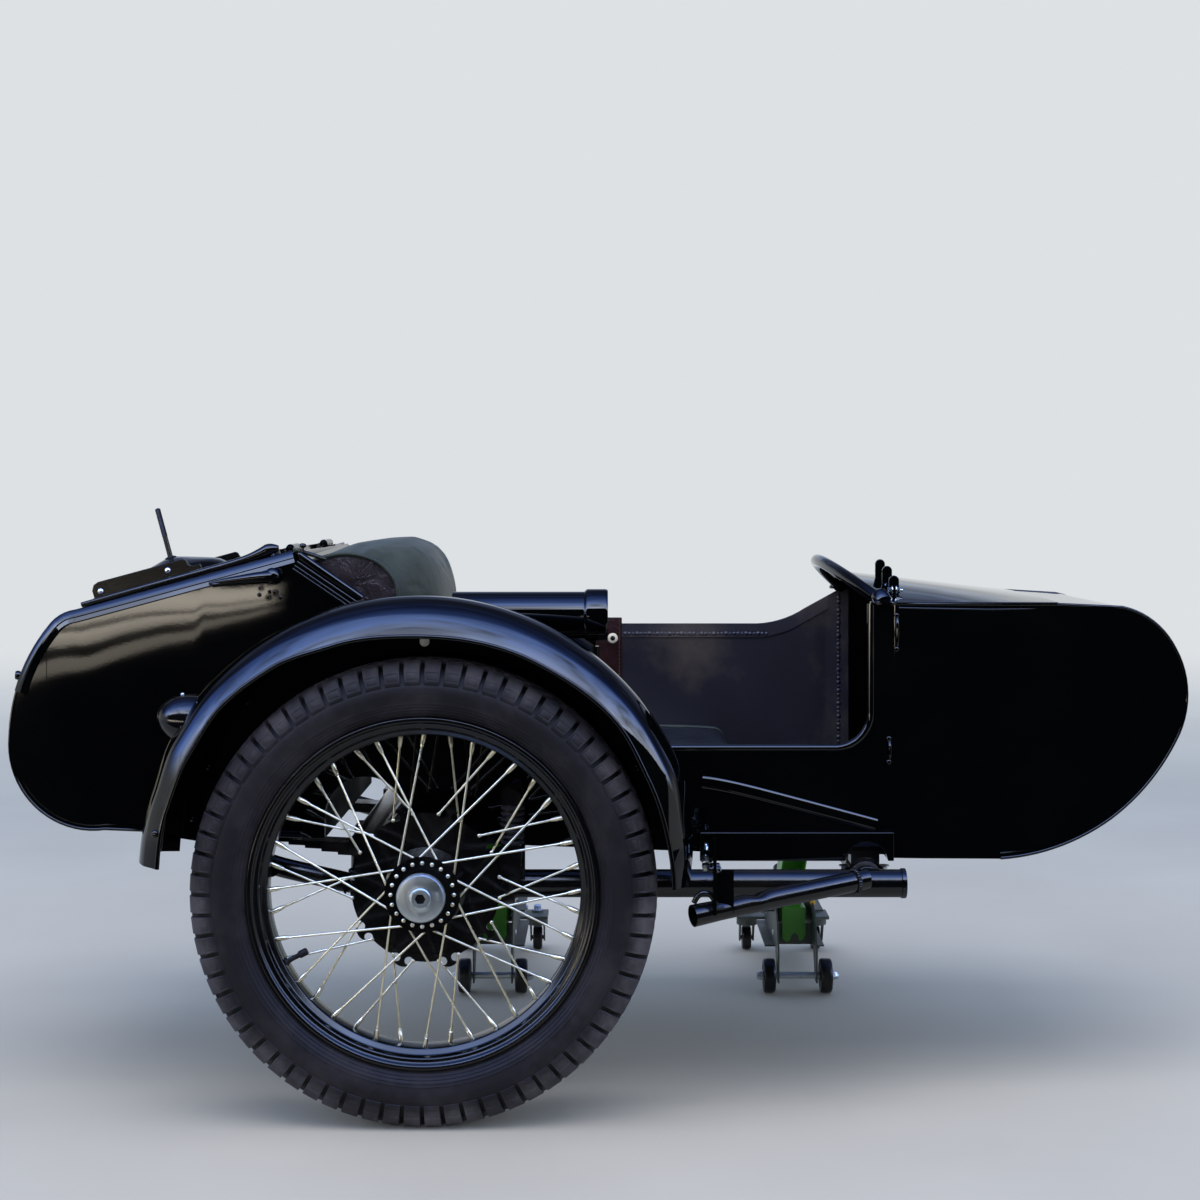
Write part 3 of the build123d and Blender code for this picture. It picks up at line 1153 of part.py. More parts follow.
# Attachment points towards the motorcycle: drilled lugs above, ball arms below
lugs = []
lug_z = FRAME_Z + TUBE_R + LUG_RISE - LUG_R
for lug_x in LUGS_X:
    lug_y = (LEFT_TUBE_Y - LUG_THICKNESS / 2, LEFT_TUBE_Y + LUG_THICKNESS / 2)
    lug = box((lug_x - LUG_R, lug_x + LUG_R), lug_y, (FRAME_Z, lug_z))
    lug += drum(lug_x, lug_z, *lug_y, LUG_R)
    lug -= drum(lug_x, lug_z, *lug_y, LUG_BORE_R)
    lug -= left_tube
    lugs.append(lug.solids().sort_by(Axis.Z)[-1])
pieces["strut_lugs"] = Compound(lugs)
arm_rows = (
    # name, X of the ball
    ("front_ball_arm", FRONT_BALL_X),
    ("rear_ball_arm", REAR_BALL_X),
)
for name, ball_x in arm_rows:
    ball_y = LEFT_TUBE_Y + BALL_REACH
    arm = bar((ball_x, LEFT_TUBE_Y, FRAME_Z), (ball_x, ball_y - BALL_R, FRAME_Z), ARM_BAR_R)
    arm += bar((ball_x, ball_y - BALL_R - 6, FRAME_Z), (ball_x, ball_y, FRAME_Z), ARM_BAR_R - 7)
    arm += Pos(ball_x, ball_y, FRAME_Z) * Sphere(BALL_R)
    arm -= left_tube
    pieces[name] = arm.solids().sort_by(SortBy.VOLUME)[-1]

# Trolley jacks: folded side plates, a lift arm up to the tube, and a hydraulic unit
side_plates = []
lift_arms = []
hydraulics = []
plate_in = JACK_PLATE_GAP / 2
plate_out = plate_in + JACK_PLATE
rear_y = JACK_AXLE_Y + JACK_WHEELBASE
saddle_z = FRAME_Z - TUBE_R
caster_top_z = CASTER_PLATE_Z + 4
stem_top_z = caster_top_z + 16
for name, jack_x in JACK_ROWS:
    plate_profile = make_face(
        Polyline(
            (JACK_AXLE_Y - 12, JACK_WHEEL_R - 12),
            (JACK_AXLE_Y + 12, JACK_WHEEL_R - 12),
            (JACK_AXLE_Y + 44, JACK_PLATE_LOW),
            (rear_y - 30, JACK_PLATE_LOW),
            (rear_y - 30, JACK_PLATE_LOW + 34),
            (JACK_AXLE_Y + 250, JACK_PLATE_HIGH - 10),
            (JACK_AXLE_Y + 60, JACK_PLATE_HIGH),
            (JACK_AXLE_Y + 20, JACK_PLATE_HIGH - 14),
            (JACK_AXLE_Y - 12, JACK_PLATE_LOW + 10),
            close=True,
        ).edges()
    )
    frame_parts = []
    for side in (-1, 1):
        near_x = jack_x + side * plate_in
        far_x = jack_x + side * plate_out
        plate = extrude(
            Plane.YZ.offset(min(near_x, far_x)) * plate_profile, JACK_PLATE
        )
        flange_x = (min(far_x, far_x + side * JACK_FLANGE), max(far_x, far_x + side * JACK_FLANGE))
        plate += box(flange_x, (JACK_AXLE_Y + 52, rear_y - 60), (JACK_PLATE_LOW, JACK_PLATE_LOW + JACK_PLATE))
        plate += box(flange_x, (JACK_AXLE_Y + 66, JACK_AXLE_Y + 240), (JACK_PLATE_HIGH - 17, JACK_PLATE_HIGH - 14))
        frame_parts.append(plate)
    frame = frame_parts[0] + frame_parts[1]
    bridge_x = (jack_x - CASTER_TRACK / 2 - 22, jack_x + CASTER_TRACK / 2 + 22)
    frame += box(bridge_x, (rear_y - 44, rear_y + 22), (JACK_PLATE_LOW, JACK_PLATE_LOW + 6))
    frame += box(
        (jack_x - plate_in, jack_x + plate_in), (JACK_AXLE_Y + 70, JACK_AXLE_Y + 76), (JACK_PLATE_LOW, JACK_PLATE_LOW + 40)
    )
    for side in (-1, 1):
        caster_x = jack_x + side * CASTER_TRACK / 2
        frame += post(caster_x, rear_y, JACK_PLATE_LOW, stem_top_z, CASTER_STEM_R + 6)
        frame -= post(caster_x, rear_y, JACK_PLATE_LOW - 1, stem_top_z - 4, CASTER_STEM_R + AXLE_CLEAR)
    axle_hole = bar(
        (jack_x - JACK_AXLE_HALF, JACK_AXLE_Y, JACK_WHEEL_R),
        (jack_x + JACK_AXLE_HALF, JACK_AXLE_Y, JACK_WHEEL_R),
        JACK_AXLE_R + AXLE_CLEAR,
    )
    frame -= axle_hole
    side_plates.append(frame.solid())

    pivot_y = JACK_AXLE_Y + LIFT_ARM_PIVOT
    arm_top_z = saddle_z - SADDLE_HEIGHT
    arm_face = make_face(
        Polyline(
            (pivot_y - 14, LIFT_ARM_PIVOT_Z - 14),
            (pivot_y + 14, LIFT_ARM_PIVOT_Z - 6),
            (pivot_y + 10, LIFT_ARM_PIVOT_Z + 22),
            (LEFT_TUBE_Y + 26, arm_top_z),
            (LEFT_TUBE_Y - 22, arm_top_z),
            (LEFT_TUBE_Y - 18, arm_top_z - LIFT_ARM_DEPTH),
            close=True,
        ).edges()
    )
    half_width = LIFT_ARM_WIDTH / 2
    lift_arm = extrude(Plane.YZ.offset(jack_x - half_width) * arm_face, LIFT_ARM_WIDTH)
    hollow = extrude(
        Plane.YZ.offset(jack_x - half_width + JACK_PLATE) * (Pos(-7, -JACK_PLATE * 1.6) * arm_face),
        LIFT_ARM_WIDTH - 2 * JACK_PLATE,
    )
    lift_arm -= hollow
    lift_arm += bar(
        (jack_x - plate_in, pivot_y, LIFT_ARM_PIVOT_Z), (jack_x + plate_in, pivot_y, LIFT_ARM_PIVOT_Z), 8
    )
    lift_arm += post(jack_x, LEFT_TUBE_Y, arm_top_z, saddle_z, SADDLE_R)
    lift_arms.append(lift_arm.solids().sort_by(SortBy.VOLUME)[-1])

    unit_y = (pivot_y - 78, rear_y - 34)
    unit = bar((jack_x, unit_y[0], JACK_PLATE_LOW + 30), (jack_x, unit_y[1], JACK_PLATE_LOW + 30), 22)
    unit += box((jack_x - plate_in, jack_x + plate_in), (unit_y[1] - 62, unit_y[1]), (JACK_PLATE_LOW + 8, JACK_PLATE_LOW + 30))
    unit += bar(
        (jack_x, unit_y[1] - 20, JACK_PLATE_LOW + 36), (jack_x, unit_y[1] + 52, JACK_PLATE_LOW + 92), 15
    )
    unit -= bar(
        (jack_x, unit_y[1] + 6, JACK_PLATE_LOW + 36 + 26 * 56 / 72),
        (jack_x, unit_y[1] + 60, JACK_PLATE_LOW + 36 + 80 * 56 / 72),
        12,
    )
    unit = unit - lift_arms[-1] - side_plates[-1]
    hydraulics.append(unit.solids().sort_by(SortBy.VOLUME)[-1])

    # The front pair of wheels turns as one with its bright rod
    rod = bar(
        (jack_x - JACK_AXLE_HALF, JACK_AXLE_Y, JACK_WHEEL_R),
        (jack_x + JACK_AXLE_HALF, JACK_AXLE_Y, JACK_WHEEL_R),
        JACK_AXLE_R,
    )
    for side in (-1, 1):
        wheel_x = jack_x + side * JACK_TRACK / 2
        wheel = bar(
            (wheel_x - JACK_WHEEL_WIDTH / 2, JACK_AXLE_Y, JACK_WHEEL_R),
            (wheel_x + JACK_WHEEL_WIDTH / 2, JACK_AXLE_Y, JACK_WHEEL_R),
            JACK_WHEEL_R,
        )
        rims = wheel.edges().filter_by(GeomType.CIRCLE)
        rod += fillet(rims, 3)
        nut_x = jack_x + side * (JACK_AXLE_HALF - 6)
        rod += bar(
            (min(nut_x, nut_x + side * 6), JACK_AXLE_Y, JACK_WHEEL_R),
            (max(nut_x, nut_x + side * 6), JACK_AXLE_Y, JACK_WHEEL_R),
            9,
        )
    pieces[name + "_front_wheels"] = rod

    # Rear casters: each swivels on its stem and trails its small wheel
    for letter, side in (("a", -1), ("b", 1)):
        caster_x = jack_x + side * CASTER_TRACK / 2
        wheel_y = rear_y + CASTER_TRAIL
        fork = post(caster_x, rear_y, CASTER_PLATE_Z - 8, JACK_PLATE_LOW - 3, 21)
        fork += post(caster_x, rear_y, CASTER_PLATE_Z, stem_top_z - 6, CASTER_STEM_R)
        cheek = make_face(
            Polyline(
                (rear_y - 14, CASTER_PLATE_Z - 4),
                (rear_y + 18, CASTER_PLATE_Z - 4),
                (wheel_y + 8, CASTER_WHEEL_R + 2),
                (wheel_y + 4, CASTER_WHEEL_R - 8),
                (wheel_y - 7, CASTER_WHEEL_R - 6),
                close=True,
            ).edges()
        )
        for cheek_x in (-CASTER_FORK_HALF, CASTER_FORK_HALF - CASTER_FORK_WALL):
            fork += extrude(Plane.YZ.offset(caster_x + cheek_x) * cheek, CASTER_FORK_WALL)
        pin = bar(
            (caster_x - CASTER_FORK_HALF, wheel_y, CASTER_WHEEL_R),
            (caster_x + CASTER_FORK_HALF, wheel_y, CASTER_WHEEL_R),
            4,
        )
        fork += pin
        pieces[name + "_caster_" + letter + "_fork"] = fork
        caster_wheel = bar(
            (caster_x - CASTER_WHEEL_WIDTH / 2, wheel_y, CASTER_WHEEL_R),
            (caster_x + CASTER_WHEEL_WIDTH / 2, wheel_y, CASTER_WHEEL_R),
            CASTER_WHEEL_R,
        )
        caster_wheel = fillet(caster_wheel.edges().filter_by(GeomType.CIRCLE), 3)
        caster_wheel -= bar(
            (caster_x - CASTER_WHEEL_WIDTH, wheel_y, CASTER_WHEEL_R),
            (caster_x + CASTER_WHEEL_WIDTH, wheel_y, CASTER_WHEEL_R),
            4 + AXLE_CLEAR,
        )
        pieces[name + "_caster_" + letter + "_wheel"] = caster_wheel
pieces["jack_side_plates"] = Compound(side_plates)
pieces["jack_lift_arms"] = Compound(lift_arms)
pieces["jack_hydraulics"] = Compound(hydraulics)

# The origin goes under the middle of everything that stands on the floor
whole = Compound([piece for piece in pieces.values()]).bounding_box()
origin_x = (whole.min.X + whole.max.X) / 2
origin_y = (whole.min.Y + whole.max.Y) / 2
placed = {name: Pos(-origin_x, -origin_y, 0) * piece for name, piece in pieces.items()}

os.makedirs("parts", exist_ok=True)
for name, piece in placed.items():
    export_step(piece, f"parts/{name}.step")
print("origin at", round(origin_x, 3), round(origin_y, 3), "from the wheel centre")
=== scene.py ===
import bmesh
import bpy
import json
from math import atan2, cos, degrees, exp, hypot, pi, radians, sin
from mathutils import Matrix, Vector

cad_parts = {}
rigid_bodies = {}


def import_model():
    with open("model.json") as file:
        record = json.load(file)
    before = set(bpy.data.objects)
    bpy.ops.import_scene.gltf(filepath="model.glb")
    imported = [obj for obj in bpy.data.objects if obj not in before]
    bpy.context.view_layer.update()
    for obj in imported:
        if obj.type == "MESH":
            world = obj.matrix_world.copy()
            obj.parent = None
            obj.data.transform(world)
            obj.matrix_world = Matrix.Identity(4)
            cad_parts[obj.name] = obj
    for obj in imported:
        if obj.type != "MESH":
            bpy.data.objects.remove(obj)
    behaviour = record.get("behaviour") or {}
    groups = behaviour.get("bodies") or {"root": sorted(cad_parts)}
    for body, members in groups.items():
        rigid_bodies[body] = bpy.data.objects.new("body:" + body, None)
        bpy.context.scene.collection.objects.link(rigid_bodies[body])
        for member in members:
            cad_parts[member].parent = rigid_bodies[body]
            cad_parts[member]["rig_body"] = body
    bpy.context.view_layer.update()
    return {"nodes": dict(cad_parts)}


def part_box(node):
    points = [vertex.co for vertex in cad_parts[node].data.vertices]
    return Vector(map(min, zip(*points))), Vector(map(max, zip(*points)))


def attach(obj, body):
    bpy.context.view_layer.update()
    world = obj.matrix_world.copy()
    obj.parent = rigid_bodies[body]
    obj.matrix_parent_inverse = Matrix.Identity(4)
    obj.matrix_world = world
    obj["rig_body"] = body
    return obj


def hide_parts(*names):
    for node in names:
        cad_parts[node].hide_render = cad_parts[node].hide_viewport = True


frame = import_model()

# Places are written as on the drawing of the sidecar: millimetres, forward and to the
# left of the road wheel's centre, and up from the floor.
tyre_low, tyre_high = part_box("tyre")
wheel_place = (tyre_low + tyre_high) / 2


def at(x, y, z):
    """A place on the drawing, in metres in the frame."""
    return Vector((wheel_place.x + x / 1000, wheel_place.y + y / 1000, z / 1000))


def linear(code):
    """An sRGB hex colour as the linear values that a node takes."""
    parts = [int(code[i:i + 2], 16) / 255 for i in (1, 3, 5)]
    return [*(p / 12.92 if p <= 0.04045 else ((p + 0.055) / 1.055) ** 2.4 for p in parts), 1.0]


def add(tree, kind, inputs=None, **settings):
    """Adds one node: its settings, and each input as a value or as another node's output."""
    made = tree.nodes.new(kind)
    for name, value in settings.items():
        setattr(made, name, value)
    for socket, value in (inputs or {}).items():
        if isinstance(value, bpy.types.NodeSocket):
            tree.links.new(value, made.inputs[socket])
        else:
            made.inputs[socket].default_value = value
    return made


def cleared(holder):
    """The node tree of a material or world, emptied."""
    holder.use_nodes = True
    holder.node_tree.nodes.clear()
    return holder.node_tree


def placed(name, data):
    """An object of a mesh, a lamp or the camera, put into the scene."""
    made = bpy.data.objects.new(name, data)
    bpy.context.scene.collection.objects.link(made)
    return made


def as_mesh(name, bm):
    """A mesh of a finished bmesh."""
    mesh = bpy.data.meshes.new(name)
    bm.to_mesh(mesh)
    bm.free()
    return mesh


# The picture: the camera stands level with the sidecar's right side, opposite the wheel,
# at the height of a standing person's chest.
lens_mm = 55.5
sensor_mm = 36.0
camera = placed("camera", bpy.data.cameras.new("camera"))
camera.data.lens = lens_mm
camera.data.sensor_width = sensor_mm
camera.data.shift_x = -0.0083
camera.data.shift_y = -0.0833
camera.data.clip_end = 100.0
camera.location = at(272, -2720, 914)
camera.rotation_euler = (radians(90), 0, 0)
bpy.context.scene.camera = camera
bpy.context.scene.view_settings.view_transform = "Standard"

# Floor: smooth pale cement that runs out into a pale backdrop of the same tone, so that no
# line shows where one ends.
backdrop_tone = linear("#DDE1E4")
floor_tone = linear("#D0D1D1")
floor_size = 60.0
floor_bm = bmesh.new()
bmesh.ops.create_grid(floor_bm, x_segments=2, y_segments=2, size=floor_size / 2)
floor = placed("floor", as_mesh("floor", floor_bm))

cement = bpy.data.materials.new("trowelled_cement")
tree = cleared(cement)
ground = add(tree, "ShaderNodeTexCoord").outputs["Object"]
mottle = add(tree, "ShaderNodeTexNoise", {"Vector": ground, "Scale": 1.3, "Detail": 6.0})
shade = add(tree, "ShaderNodeMapRange", {
    "Value": mottle.outputs["Fac"], "From Min": 0.3, "From Max": 0.7, "To Min": 0.92,
    "To Max": 1.04})
tinted = add(tree, "ShaderNodeMix", {0: 1.0, 6: floor_tone, 7: shade.outputs[0]},
             data_type="RGBA", blend_type="MULTIPLY")
laid = add(tree, "ShaderNodeBsdfDiffuse", {"Color": tinted.outputs[2]})
far = add(tree, "ShaderNodeEmission", {"Color": backdrop_tone, "Strength": 1.0})
reach = add(tree, "ShaderNodeVectorMath", {0: ground}, operation="LENGTH")
fade = add(tree, "ShaderNodeMapRange", {
    "Value": reach.outputs["Value"], "From Min": 2.0, "From Max": 9.0},
    interpolation_type="SMOOTHSTEP")
both = add(tree, "ShaderNodeMixShader", {0: fade.outputs[0], 1: laid.outputs[0], 2: far.outputs[0]})
add(tree, "ShaderNodeOutputMaterial", {"Surface": both.outputs[0]})
floor.data.materials.append(cement)

# Daylight: a pale backdrop all round up to where the picture ends, and above it an open
# sky. The black paint mirrors a deeper one, as it does under a real sky that is far brighter
# than white cement: hazy low down in front, blue above it, and navy towards the back.
sky_tone = linear("#B4C6E2")
world = bpy.data.worlds.new("daylight")
bpy.context.scene.world = world
tree = cleared(world)
outward = add(tree, "ShaderNodeTexCoord").outputs["Generated"]
rise = add(tree, "ShaderNodeSeparateXYZ", {"Vector": outward})
lift = add(tree, "ShaderNodeMapRange", {
    "Value": rise.outputs["Z"], "From Min": 0.30, "From Max": 0.62},
    interpolation_type="SMOOTHSTEP")
dome = add(tree, "ShaderNodeMix", {0: lift.outputs[0], 6: backdrop_tone, 7: sky_tone},
           data_type="RGBA")
in_front = add(tree, "ShaderNodeMath", {0: rise.outputs["Y"], 1: -1.0}, operation="MULTIPLY")
swung = add(tree, "ShaderNodeMath", {0: rise.outputs["Z"], 1: in_front.outputs[0]},
            operation="ARCTAN2")
share = add(tree, "ShaderNodeMath", {0: swung.outputs[0], 1: 1 / pi}, operation="MULTIPLY")
drawn_out = add(tree, "ShaderNodeMapping", {"Vector": outward, "Scale": (1.1, 5.0, 5.0)})
wisps = add(tree, "ShaderNodeTexNoise", {"Vector": drawn_out.outputs[0], "Scale": 1.6,
                                         "Detail": 4.0, "Distortion": 0.6})
shifted = add(tree, "ShaderNodeMath", {0: wisps.outputs["Fac"], 1: 0.14, 2: share.outputs[0]},
              operation="MULTIPLY_ADD")
heights = add(tree, "ShaderNodeValToRGB", {"Fac": shifted.outputs[0]})
heights.color_ramp.elements[-1].color = linear("#3A4250")
for stop, code in ((0.20, "#14161C"), (0.25, "#E4ECFC"), (0.33, "#B9CBF4"), (0.41, "#7C9AE0"),
                   (0.50, "#425C9C"), (0.62, "#202C52"), (0.76, "#10131F"), (0.90, "#1C202C")):
    heights.color_ramp.elements.new(stop).color = linear(code)
cloud_light = add(tree, "ShaderNodeMapRange", {
    "Value": wisps.outputs["Fac"], "From Min": 0.3, "From Max": 0.75, "To Min": 4.0,
    "To Max": 19.0})
bright = add(tree, "ShaderNodeVectorMath", {0: heights.outputs[0], "Scale": cloud_light.outputs[0]},
             operation="SCALE")
clear_of = add(tree, "ShaderNodeMapRange", {
    "Value": rise.outputs["Z"], "From Min": 0.08, "From Max": 0.36},
    interpolation_type="SMOOTHSTEP")
mirrored = add(tree, "ShaderNodeMix", {0: clear_of.outputs[0], 6: backdrop_tone,
                                       7: bright.outputs[0]},
               data_type="RGBA")
ray = add(tree, "ShaderNodeLightPath")
seen = add(tree, "ShaderNodeMix", {0: ray.outputs["Is Glossy Ray"], 6: dome.outputs[2],
                                   7: mirrored.outputs[2]},
           data_type="RGBA")
light = add(tree, "ShaderNodeBackground", {"Color": seen.outputs[2], "Strength": 1.0})
add(tree, "ShaderNodeOutputWorld", {"Surface": light.outputs[0]})

# One large soft lamp hangs overhead and a little in front. Reflections don't show it, so
# that the paint mirrors only the sky.
overhead = placed("overhead", bpy.data.lights.new("overhead", "AREA"))
overhead.data.shape = "RECTANGLE"
overhead.data.size, overhead.data.size_y = 4.0, 2.4
overhead.data.energy = 75.0
overhead.data.color = linear("#FFF1E0")[:3]
overhead.location = at(200, -900, 3600)
overhead_aim = at(200, 300, 400) - overhead.location
overhead.rotation_euler = overhead_aim.to_track_quat("-Z", "Y").to_euler()
overhead.visible_glossy = False

# A dark screen behind the camera and shaded ground before it, which only reflections see,
# because gloss black paint needs something dark to mirror. Low on the screen's left a
# sunlit strip of ground glows, and the tail's flank mirrors that.
screen_bm = bmesh.new()
for size, tilt, middle in (((9.0, 1.5, 1.0), 90, at(300, -3300, 1450)),
                           ((5.0, 1.3, 1.0), 0, at(1900, -2000, 2))):
    sheet = bmesh.ops.create_grid(screen_bm, x_segments=1, y_segments=1, size=1.0)["verts"]
    bmesh.ops.scale(screen_bm, vec=size, verts=sheet)
    bmesh.ops.rotate(screen_bm, matrix=Matrix.Rotation(radians(tilt), 3, "X"), verts=sheet)
    bmesh.ops.translate(screen_bm, vec=middle, verts=sheet)
screen = placed("dark_screen", as_mesh("dark_screen", screen_bm))
screen.visible_camera = False
screen.visible_diffuse = False
screen.visible_shadow = False
screen.visible_transmission = False
felt = bpy.data.materials.new("black_felt")
tree = cleared(felt)
spot = add(tree, "ShaderNodeTexCoord").outputs["Object"]
parts = add(tree, "ShaderNodeSeparateXYZ", {"Vector": spot})
strip_low, strip_high = at(-1823, 0, 332), at(-1823, 0, 606)
low_slope, high_slope = 0.20, 0.034
drift = add(tree, "ShaderNodeTexNoise", {"Vector": spot, "Scale": 1.7, "Detail": 2.5,
                                         "Distortion": 0.5})
low_line = add(tree, "ShaderNodeMath", {
    0: parts.outputs["X"], 1: low_slope, 2: strip_low.z - low_slope * strip_low.x},
    operation="MULTIPLY_ADD")
width = add(tree, "ShaderNodeMath", {
    0: parts.outputs["X"], 1: high_slope - low_slope,
    2: strip_high.z - strip_low.z - (high_slope - low_slope) * strip_low.x},
    operation="MULTIPLY_ADD")
over = add(tree, "ShaderNodeMath", {0: parts.outputs["Z"], 1: low_line.outputs[0]},
           operation="SUBTRACT")
level = add(tree, "ShaderNodeMath", {0: over.outputs[0], 1: width.outputs[0]}, operation="DIVIDE")
wavering = add(tree, "ShaderNodeMath", {0: drift.outputs["Fac"], 1: 0.44, 2: level.outputs[0]},
               operation="MULTIPLY_ADD")
place = add(tree, "ShaderNodeMath", {0: wavering.outputs[0], 1: 0.22}, operation="SUBTRACT")
bands = add(tree, "ShaderNodeValToRGB", {"Fac": place.outputs[0]})
bands.color_ramp.interpolation = "EASE"
bands.color_ramp.elements[-1].color = (0.0, 0.0, 0.0, 1.0)
for stop, shine in ((0.02, 0.0), (0.09, 0.30), (0.19, 0.34), (0.23, 0.01), (0.31, 0.02),
                    (0.37, 0.62), (0.47, 0.9), (0.50, 0.16), (0.54, 0.2), (0.58, 0.85), (0.74, 1.0),
                    (0.94, 0.9)):
    bands.color_ramp.elements.new(stop).color = (shine, shine, shine, 1.0)
beside = add(tree, "ShaderNodeMapRange", {
    "Value": parts.outputs["X"], "From Min": at(-820, 0, 0).x, "From Max": at(-960, 0, 0).x},
    interpolation_type="SMOOTHSTEP")
lit = add(tree, "ShaderNodeMath", {0: bands.outputs[0], 1: beside.outputs[0]}, operation="MULTIPLY")
strength = add(tree, "ShaderNodeMath", {0: lit.outputs[0], 1: 15.0}, operation="MULTIPLY")
glow = add(tree, "ShaderNodeEmission", {"Color": linear("#D9D0C0"),
                                        "Strength": strength.outputs[0]})
dark = add(tree, "ShaderNodeEmission", {"Color": linear("#16181F"), "Strength": 1.0})
joined = add(tree, "ShaderNodeAddShader", {0: glow.outputs[0], 1: dark.outputs[0]})
add(tree, "ShaderNodeOutputMaterial", {"Surface": joined.outputs[0]})
screen.data.materials.append(felt)


# Tyre: a 19 inch cross-ply with a block tread, moulded in one piece from carbon black
# rubber. Sixty-eight shoulder blocks a side stand over a smooth wall with fine rings at the
# rim, and the vent holes of the mould have left short hairs on the shoulders.
to_frame = Matrix.Translation((wheel_place.x, wheel_place.y, 0)) @ Matrix.Scale(0.001, 4)
wheel_z = tyre_r = 342.0
wall_ring_r, wall_ring_y, wall_arc_r = 297.5, -8.1, 56.3
groove_r = 308.0
blocks = 68


def face_out(bm, others=()):
    """Turns faces outwards: all of a bmesh's, but for the others."""
    bmesh.ops.recalc_face_normals(bm, faces=[f for f in bm.faces if f not in others])


def piece(name, bm, material, body, stands_for=(), crease=38, new=True):
    """Makes an object of a bmesh and rides it on a body. A new shape is drawn in millimetres
    in the part's frame; a carried-over solid is in its place already."""
    if new:
        bmesh.ops.transform(bm, matrix=to_frame, verts=bm.verts)
    mesh = as_mesh(name, bm)
    mesh.materials.append(material)
    mesh.polygons.foreach_set("use_smooth", [True] * len(mesh.polygons))
    mesh.set_sharp_from_angle(angle=radians(crease))
    made = placed(name, mesh)
    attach(made, body)
    if stands_for:
        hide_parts(*stands_for)
    return made


def turn(bm, line, steps, place=(0.0, 0.0, wheel_z), along=(0.0, 1.0, 0.0), start=0.0,
         span=360.0, ring=False):
    """Spins a line of (radius, distance along the axis) points about an axis."""
    others = set(bm.faces)
    along = Vector(along).normalized()
    side = along.cross(Vector((0, 0, 1))) if abs(along.z) < 0.9 else Vector((1, 0, 0))
    side = Matrix.Rotation(radians(start), 3, along) @ side.normalized()
    place = Vector(place)
    dots = [bm.verts.new(place + side * r + along * a) for r, a in line]
    pairs = list(zip(dots, dots[1:])) + ([(dots[-1], dots[0])] if ring else [])
    edges = [bm.edges.new(p) for p in pairs]
    full = span == 360.0
    bmesh.ops.spin(bm, geom=dots + edges, cent=place, axis=along, angle=radians(span),
                   steps=steps, use_merge=full)
    if full and min(r for r, a in line) == 0.0:
        bmesh.ops.remove_doubles(bm, verts=bm.verts, dist=1e-4)
    face_out(bm, others)


def join(bm, other):
    """Adds a finished bmesh to another one."""
    copy = as_mesh("copy", other)
    bm.from_mesh(copy)
    bpy.data.meshes.remove(copy)


def wall_y(r):
    """How far out the tyre's wall stands at a radius."""
    return wall_ring_y + (wall_arc_r ** 2 - (r - wall_ring_r) ** 2) ** 0.5


tyre_side = [(243.0, 28.0), (243.0, 29.5), (256.0, 30.0)]
for ring_r in (259.0, 263.5, 268.0, 272.5, 277.0):
    tyre_side += [(ring_r, wall_y(ring_r)), (ring_r + 0.7, wall_y(ring_r) + 1.0),
                  (ring_r + 2.0, wall_y(ring_r) + 1.0), (ring_r + 2.8, wall_y(ring_r + 2.8))]
tyre_side += [(r, wall_y(r)) for r in (283.0, 289.0, 295.0)]
tyre_side += [(300.0, 47.6), (304.0, 46.8), (306.5, 45.4), (314.0, 42.2), (322.0, 37.0),
              (328.5, 29.5), (332.5, 20.0), (334.6, 10.0)]
tyre_line = tyre_side + [(335.2, 0.0)] + [(r, -y) for r, y in reversed(tyre_side)]
tyre_bm = bmesh.new()
turn(tyre_bm, tyre_line, 136, ring=True)


def tread_block(bm, line, wide, at_angle, groove):
    """One rubber block: its section across the tyre, given a width round the wheel."""
    hub = Vector((0, 0, wheel_z))
    half = degrees(wide / 2 / tyre_r)
    turned_to = Matrix.Rotation(radians(at_angle - half), 3, "Y")
    dots = [bm.verts.new(hub + turned_to @ Vector((r, y, 0))) for r, y in line]
    face = bm.faces.new(dots)
    grown = bmesh.ops.extrude_face_region(bm, geom=[face], use_keep_orig=True)["geom"]
    new = [g for g in grown if isinstance(g, bmesh.types.BMVert)]
    bmesh.ops.rotate(bm, cent=hub, matrix=Matrix.Rotation(radians(2 * half), 3, "Y"), verts=new)
    faces = {f for v in dots + new for f in v.link_faces}
    bmesh.ops.recalc_face_normals(bm, faces=list(faces))
    if groove:
        outer = [f for f in faces if abs(f.normal.y) > 0.8]
        outer = sorted(outer, key=lambda f: -f.calc_area())[:1]
        bmesh.ops.inset_region(bm, faces=outer, thickness=3.4, depth=0.0)
        bmesh.ops.inset_region(bm, faces=outer, thickness=1.1, depth=-1.3)
        bmesh.ops.inset_region(bm, faces=outer, thickness=1.0, depth=1.1)


tread = bmesh.new()
shoulder = [(304.0, 44.5), (304.5, 47.3), (309.0, 48.0), (325.5, 43.2), (335.2, 36.2),
            (339.6, 29.0), (340.6, 21.0), (331.0, 19.5), (326.0, 30.0), (314.0, 38.0)]
tread_block(tread, shoulder, 24.5, 0.0, True)
tread_block(tread, [(r, -y) for r, y in reversed(shoulder)], 24.5, 180.0 / blocks, True)
middle = [(333.0, 15.5), (341.0, 15.0), (341.9, 2.2), (333.0, 1.8)]
tread_block(tread, middle, 22.0, 180.0 / blocks, False)
tread_block(tread, [(r, -y) for r, y in reversed(middle)], 22.0, 0.0, False)
bmesh.ops.bevel(tread, geom=[e for e in tread.edges if e.calc_length() > 6.0], offset=0.7,
                segments=1, profile=0.5, affect="EDGES", material=-1)
hairs = ((0.0, 45.5, 3.5), (2.2, 41.5, 4.5), (3.4, -44.0, 4.0), (1.1, -40.0, 5.0))
